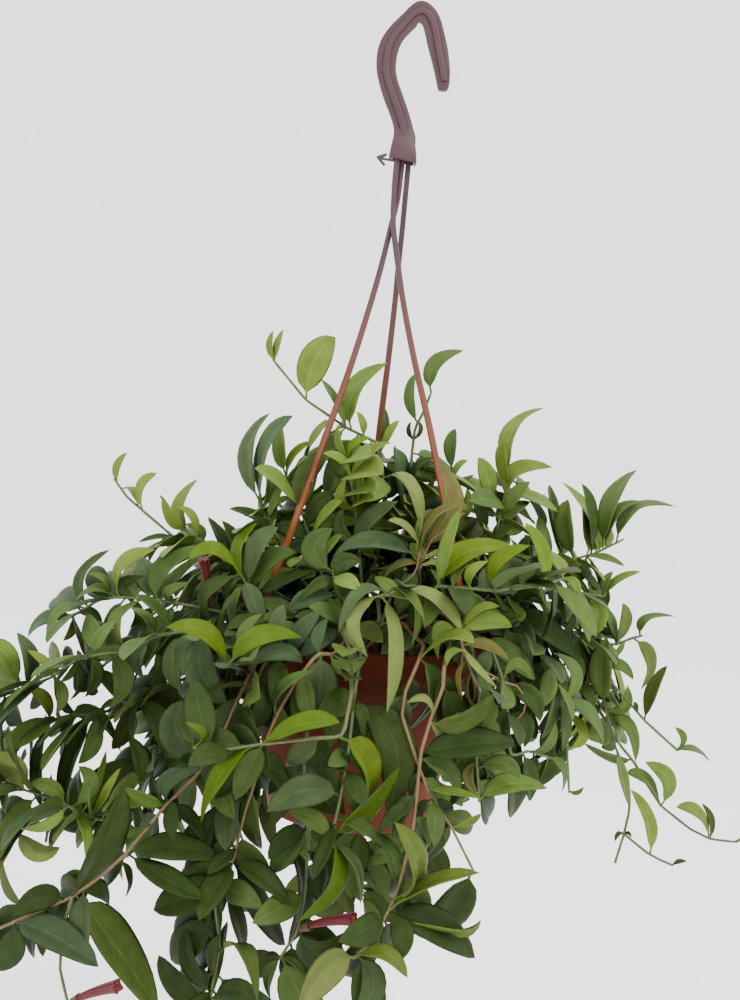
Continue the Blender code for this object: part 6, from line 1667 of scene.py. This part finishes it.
def spray_lines(number, stem, leaves, colours, chance):
    """The stem's line and each leaf's midrib, as a mesh of edges with what the tree reads at its points."""
    points, edges, data = [], [], {name: [] for name in POINT_DATA}

    def line(rows):
        for i, (point, values) in enumerate(rows):
            points.append(tuple(point))
            for name, kind in POINT_DATA.items():
                value = values.get(name, EMPTY[kind][1])
                data[name].extend(value if isinstance(value, (tuple, Vector)) else (value,))
            if i:
                edges.append((len(points) - 2, len(points) - 1))

    def rod(course, radii, old, young):
        line([(p, {"girth": radius * 0.82, "age": old + (young - old) * (i / (len(course) - 1))})
              for i, (p, radius) in enumerate(zip(course, radii))])

    woody = WOODY.get(number, 0.4)
    rod(stem.points, stem.radii, woody, woody * 1.4 - 0.6)
    for course in stem.twigs:
        rod(course, [STEM_TIP_RADIUS] * len(course), 0.5, 0.1)
    for owner, course in DRY_TWIGS:
        if owner == number:
            rod(stem.branch(course), [DRY_RADIUS] * len(course), 1.0, 0.9)
    for leaf in leaves:
        count = 12 if leaf.length > 26 * MM else 9
        red, green, blue, _ = colours[leaf.kind]
        bright, hue = chance.uniform(0.86, 1.14), chance.uniform(-0.05, 0.05)
        # painted light: leaves up and to the right, and the leaves of the LIT stems, are painted lighter
        light = risen(leaf.base.z, *LIGHT_UP) + risen(leaf.base.x, *LIGHT_RIGHT)
        bright *= LIT.get(number, 1.0) * (SHADE_TONE + LIGHT_TONE * min(1, light))
        tint = (red * bright * (1 + hue * 2), green * bright, blue * bright * (1 - hue * 2), 1.0)
        phase = chance.uniform(0, 6.3)
        curl = chance.uniform(0.6, 1.2) * (1.7 if leaf.kind in (DRIED, PALE) else 1.0)
        rows = []
        for i in range(count):
            t = i / (count - 1)
            tangent, normal, across = leaf.frame(t)
            centre = leaf.point(t) - (tangent * 0.45 * MM if i == 0 else Vector())
            half = max(leaf.width / 2 * blade_width(t), 0.75 * MM * min(1, (1 - t) / 0.06) + 0.04 * MM)
            thick = 1.35 if t < 0.1 else (1.0 if t < 0.9 else 0.75)
            if i == count - 1:
                half, thick = 0.06 * MM, 0.12
            rows.append((leaf.point(t), {
                "centre": centre - normal * 0.45 * MM, "sideways": across, "upwards": normal, "half": half,
                "thick": thick, "along_leaf": t, "curl": curl, "phase": phase, "is_leaf": True,
                "leaf_colour": tint}))
        line(rows)
    mesh = bpy.data.meshes.new(stem.name + "_lines")
    mesh.from_pydata(points, edges, [])
    for name, kind in POINT_DATA.items():
        mesh.attributes.new(name, kind, "POINT").data.foreach_set(EMPTY[kind][0], data[name])
    return mesh


def add_object(name, shape, materials, collection=None):
    mesh = bpy.data.meshes.new(name)
    mesh.from_pydata([tuple(p) for p in shape.points], [], shape.faces)
    for found in materials:
        mesh.materials.append(found)
    mesh.polygons.foreach_set("material_index", shape.kinds)
    mesh.update()
    made = bpy.data.objects.new(name, mesh)
    (collection or bpy.context.scene.collection).objects.link(made)
    return made


def soften(made, width):
    """Rounds the edges of a piece for good."""
    bevel = made.modifiers.new("Edges", "BEVEL")
    bevel.width, bevel.segments, bevel.limit_method, bevel.angle_limit = width, 3, "ANGLE", math.radians(38)
    keep_result(made)


def combine(made, operation, shapes, materials=(), edge=None):
    """Cuts the shapes out of the piece, or joins them to it with their edges rounded."""
    helpers = bpy.data.collections.new(made.name + "_helpers")
    bpy.context.scene.collection.children.link(helpers)
    for i, shape in enumerate(shapes):
        helper = add_object("%s_helper_%d" % (made.name, i), shape, materials, helpers)
        if edge:
            soften(helper, edge)
    modifier = made.modifiers.new("Openings", "BOOLEAN")
    modifier.operation, modifier.operand_type, modifier.collection = operation, "COLLECTION", helpers
    keep_result(made)
    for helper in list(helpers.objects):
        bpy.data.objects.remove(helper)
    bpy.data.collections.remove(helpers)


def rounded(profile, radius, steps=4):
    """The profile with each corner off the axis turned into an arc."""
    out = [profile[0]]
    for before, corner, after in zip(profile, profile[1:], profile[2:]):
        p, a, b = Vector(corner), Vector(before), Vector(after)
        reach = min(radius, (a - p).length * 0.45, (b - p).length * 0.45)
        start, stop = p + (a - p).normalized() * reach, p + (b - p).normalized() * reach
        out += [tuple(bent(start, p, stop, i / steps)) for i in range(steps + 1)]
    return out + [profile[-1]]


def finished(made, angle=38):
    """Smooths the piece but for its sharp edges, and lets it ride on the one body."""
    made.data.shade_smooth()
    made.data.set_sharp_from_angle(angle=math.radians(angle))
    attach(made, "root")
    return made


class BASKET_OT_foliage(bpy.types.Operator):
    """Grow every leafy stem in place of its plain solid"""
    bl_idname = "basket.foliage"
    bl_label = "Foliage"

    def execute(self, context):
        settings = context.scene.basket_foliage
        stems, leaves, _ = growth()
        colours = [getattr(settings, kind) for kind in LEAF_KINDS]
        tree = spray_tree(leaf_material(), stem_material(settings))
        chance = random.Random(SEED + 2)
        for number, stem in enumerate(stems):
            lines = spray_lines(number, stem, leaves[stem.name], colours, chance)
            made = bpy.data.objects.new("leafy_" + stem.name, lines)
            context.scene.collection.objects.link(made)
            run_tree(made, tree, {"Fold": settings.fold, "Wave": settings.wave, "Blade": settings.blade})
            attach(made, "root")
            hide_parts(stem.name)
        return {"FINISHED"}


def bloom_part(middle, rows, sides, lobes, depth):
    """A skin about the flower's middle line from its rows; lobes give its last rows a wavy edge."""
    def along(t):
        spot = t * (len(middle) - 1)
        i = min(int(spot), len(middle) - 2)
        return middle[i].lerp(middle[i + 1], spot - i)
    rings = []
    for (t, radius), (tangent, side, other) in zip(rows, frames_along([along(t) for t, _ in rows])):
        ring = []
        for k in range(sides):
            a = 2 * math.pi * k / sides
            wave = math.cos(lobes * a) if lobes and t > 0.8 * rows[-1][0] else 0.0
            wide = radius * (1 + 0.12 * wave) * MM
            ring.append(along(t) + wide * (math.cos(a) * side + math.sin(a) * other)
                        + tangent * depth * MM * wave)
        rings.append(ring)
    return sweep(rings)


class BASKET_OT_blooms(bpy.types.Operator):
    """Make the red flowers, each with its cup and its open mouth"""
    bl_idname = "basket.blooms"
    bl_label = "Flowers"

    def execute(self, context):
        looks = [petal_material("calyx", "3A3A1A", "4A2A1C"), petal_material("red_petal", "3C0508", "54080C"),
                 petal_material("orange_throat", "8E2A0C", "A03C10")]
        for name, plain in growth()[2].items():
            count = len(BLOOM_RINGS)
            sides = len(plain.points) // count
            middle = [sum(plain.points[i * sides:(i + 1) * sides], Vector()) / sides for i in range(count)]
            whole = Shape()
            for kind, part in enumerate(BLOOM_PARTS):
                whole.add(bloom_part(middle, *part), kind)
            made = finished(add_object("fine_" + name, whole, looks), 60)
            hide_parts(name)
        return {"FINISHED"}


class BASKET_OT_pot(bpy.types.Operator):
    """Turn the pot with its rounded rim, its slots and its drain holes"""
    bl_idname = "basket.pot"
    bl_label = "Pot"

    def execute(self, context):
        settings = context.scene.basket_pot
        plastic = plastic_material("moulded_terracotta_plastic", settings.colour, settings.colour, -0.5, -0.4,
                                   0.7, 0.1)
        pot = add_object("turned_pot", turned(rounded(POT_PROFILE, POT_EDGE_MM), settings.sides), [plastic])
        cutters = [slot_cutter(azimuth) for azimuth in STRAP_AZIMUTHS.values()]
        combine(pot, "DIFFERENCE", cutters + [drain_cutter(i) for i in range(DRAIN_HOLES)])
        finished(pot, 30)
        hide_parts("pot")
        return {"FINISHED"}


class BASKET_OT_soil(bpy.types.Operator):
    """Give the soil its peat and strew crumbs over it"""
    bl_idname = "basket.soil"
    bl_label = "Soil"

    def execute(self, context):
        settings = context.scene.basket_pot
        peat = soil_material(settings)
        for slot in bpy.data.objects["soil"].material_slots:
            slot.material = peat
        sides, last = CRUMB_SIDES, len(CRUMB_ROWS_MM) - 1
        points = [around(360 * k / sides, radius * MM,
                         RIM_Z - SOIL_DROP + (SOIL_RISE_MM * (1 - radius / SOIL_RADIUS_MM) + 0.1) * MM)
                  for radius in CRUMB_ROWS_MM for k in range(sides)]
        faces = [(a + k, a + (k + 1) % sides, a + sides + (k + 1) % sides, a + sides + k)
                 for a in range(0, last * sides, sides) for k in range(sides)]
        made = add_object("peat_crumbs", Shape(points, faces), [])
        area = math.pi * (CRUMB_ROWS_MM[-1] * MM) ** 2
        finished(run_tree(made, crumb_tree(peat), {"Per area": settings.crumbs / area, "Size": settings.crumb,
                                                   "Seed": SEED}), 20)
        return {"FINISHED"}


class BASKET_OT_hanger(bpy.types.Operator):
    """Mould the hook and the three straps with rounded edges"""
    bl_idname = "basket.hanger"
    bl_label = "Hook and straps"

    def execute(self, context):
        settings = context.scene.basket_hanger
        # the greying from the straps' colour to the hook's is painted backlight haze
        plastic = plastic_material("moulded_hanger_plastic", settings.low, settings.high, -0.36, -0.16, 0.42,
                                   0.18)
        outer, inner, spine = ([Vector((x * MM, 0, z * MM)) for x, z in line]
                               for line in (HOOK_OUTER, HOOK_INNER, HOOK_SPINE))
        outline = [(p.x / MM, p.z / MM) for p in smooth(outer, 2.5 * MM) + smooth(inner, 2.5 * MM)[::-1]]
        hook = add_object("moulded_hook", plate(outline, 0.0, HOOK_PLATE), [plastic])
        soften(hook, settings.edge)
        combine(hook, "UNION", [hook_rib(smooth(spine, 4 * MM)), collar_block()], [plastic], settings.edge)
        combine(hook, "DIFFERENCE", [box_between(**COLLAR_ROOM)])
        finished(hook)
        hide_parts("hook")
        extra = {"left": [stud()], "right": [plate(ARROW, STRAP_TOPS["right"][1] * MM, STRAP_THICKNESS)]}
        for name in STRAP_AZIMUTHS:
            strap = add_object("moulded_strap_" + name, fine_strap(name), [plastic])
            combine(strap, "UNION", [strap_head(name), *extra.get(name, [])], [plastic], STRAP_EDGE)
            finished(strap)
            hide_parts("strap_" + name)
        return {"FINISHED"}


class BASKET_OT_stage(bpy.types.Operator):
    """Set the pale floor, the soft light and the camera of the usual view"""
    bl_idname = "basket.stage"
    bl_label = "Stage"

    def execute(self, context):
        scene = context.scene
        settings = scene.basket_stage
        corners = [Vector((a * FLOOR_SPAN, b * FLOOR_SPAN, -settings.floor_drop))
                   for a, b in ((-1, -1), (1, -1), (1, 1), (-1, 1))]
        add_object("floor", Shape(corners, [(0, 1, 2, 3)]), [paper_material(settings)])
        scene.world = bpy.data.worlds.new("soft_daylight")
        scene.world.use_nodes = True
        feed(scene.world.node_tree, scene.world.node_tree.nodes["Background"],
             {"Color": (1, 1, 1, 1), "Strength": DAYLIGHT})
        for name, spot, size, share in LIGHTS:
            lamp = bpy.data.lights.new(name, "AREA")
            lamp.shape, lamp.size, lamp.energy = "DISK", size, settings.key * share
            turn = (Vector(LIGHTS_AIM) - Vector(spot)).to_track_quat("-Z", "Y").to_matrix()
            self.put(scene, name, lamp, Vector(spot), turn)
        data = bpy.data.cameras.new("usual_view")
        data.sensor_fit, data.sensor_width = "AUTO", 36
        data.lens = data.sensor_width * VIEW_FOCUS / VIEW_HEIGHT
        data.clip_start, data.clip_end = 0.05, 100
        turn = Matrix((RIGHT, UP, -FORWARD)).transposed()
        scene.camera = self.put(scene, "usual_view", data, VIEW_EYE, turn)
        return {"FINISHED"}

    def put(self, scene, name, data, spot, turn):
        made = bpy.data.objects.new(name, data)
        scene.collection.objects.link(made)
        made.matrix_world = Matrix.Translation(spot) @ turn.to_4x4()
        return made


class BASKET_PT_panel(bpy.types.Panel):
    """Lists the steps that build the basket"""
    bl_idname = "BASKET_PT_panel"
    bl_label = "Lipstick plant basket"
    bl_space_type = "VIEW_3D"
    bl_region_type = "UI"
    bl_category = "Basket"

    def draw(self, context):
        for step in STEPS:
            self.layout.operator(step.bl_idname)


STEPS = (BASKET_OT_stage, BASKET_OT_foliage, BASKET_OT_blooms, BASKET_OT_pot, BASKET_OT_soil,
         BASKET_OT_hanger)
SETTINGS = {"basket_foliage": FoliageSettings, "basket_pot": PotSettings, "basket_hanger": HangerSettings,
            "basket_stage": StageSettings}


def register():
    for kind in (*SETTINGS.values(), *STEPS, BASKET_PT_panel):
        bpy.utils.register_class(kind)
    for name, kind in SETTINGS.items():
        setattr(bpy.types.Scene, name, PointerProperty(type=kind))


def unregister():
    for name in SETTINGS:
        delattr(bpy.types.Scene, name)
    for kind in (BASKET_PT_panel, *reversed(STEPS), *reversed(list(SETTINGS.values()))):
        bpy.utils.unregister_class(kind)


def main():
    register()
    for step in STEPS:
        getattr(bpy.ops.basket, step.bl_idname.split(".")[1])()


if __name__ == "__main__":
    main()
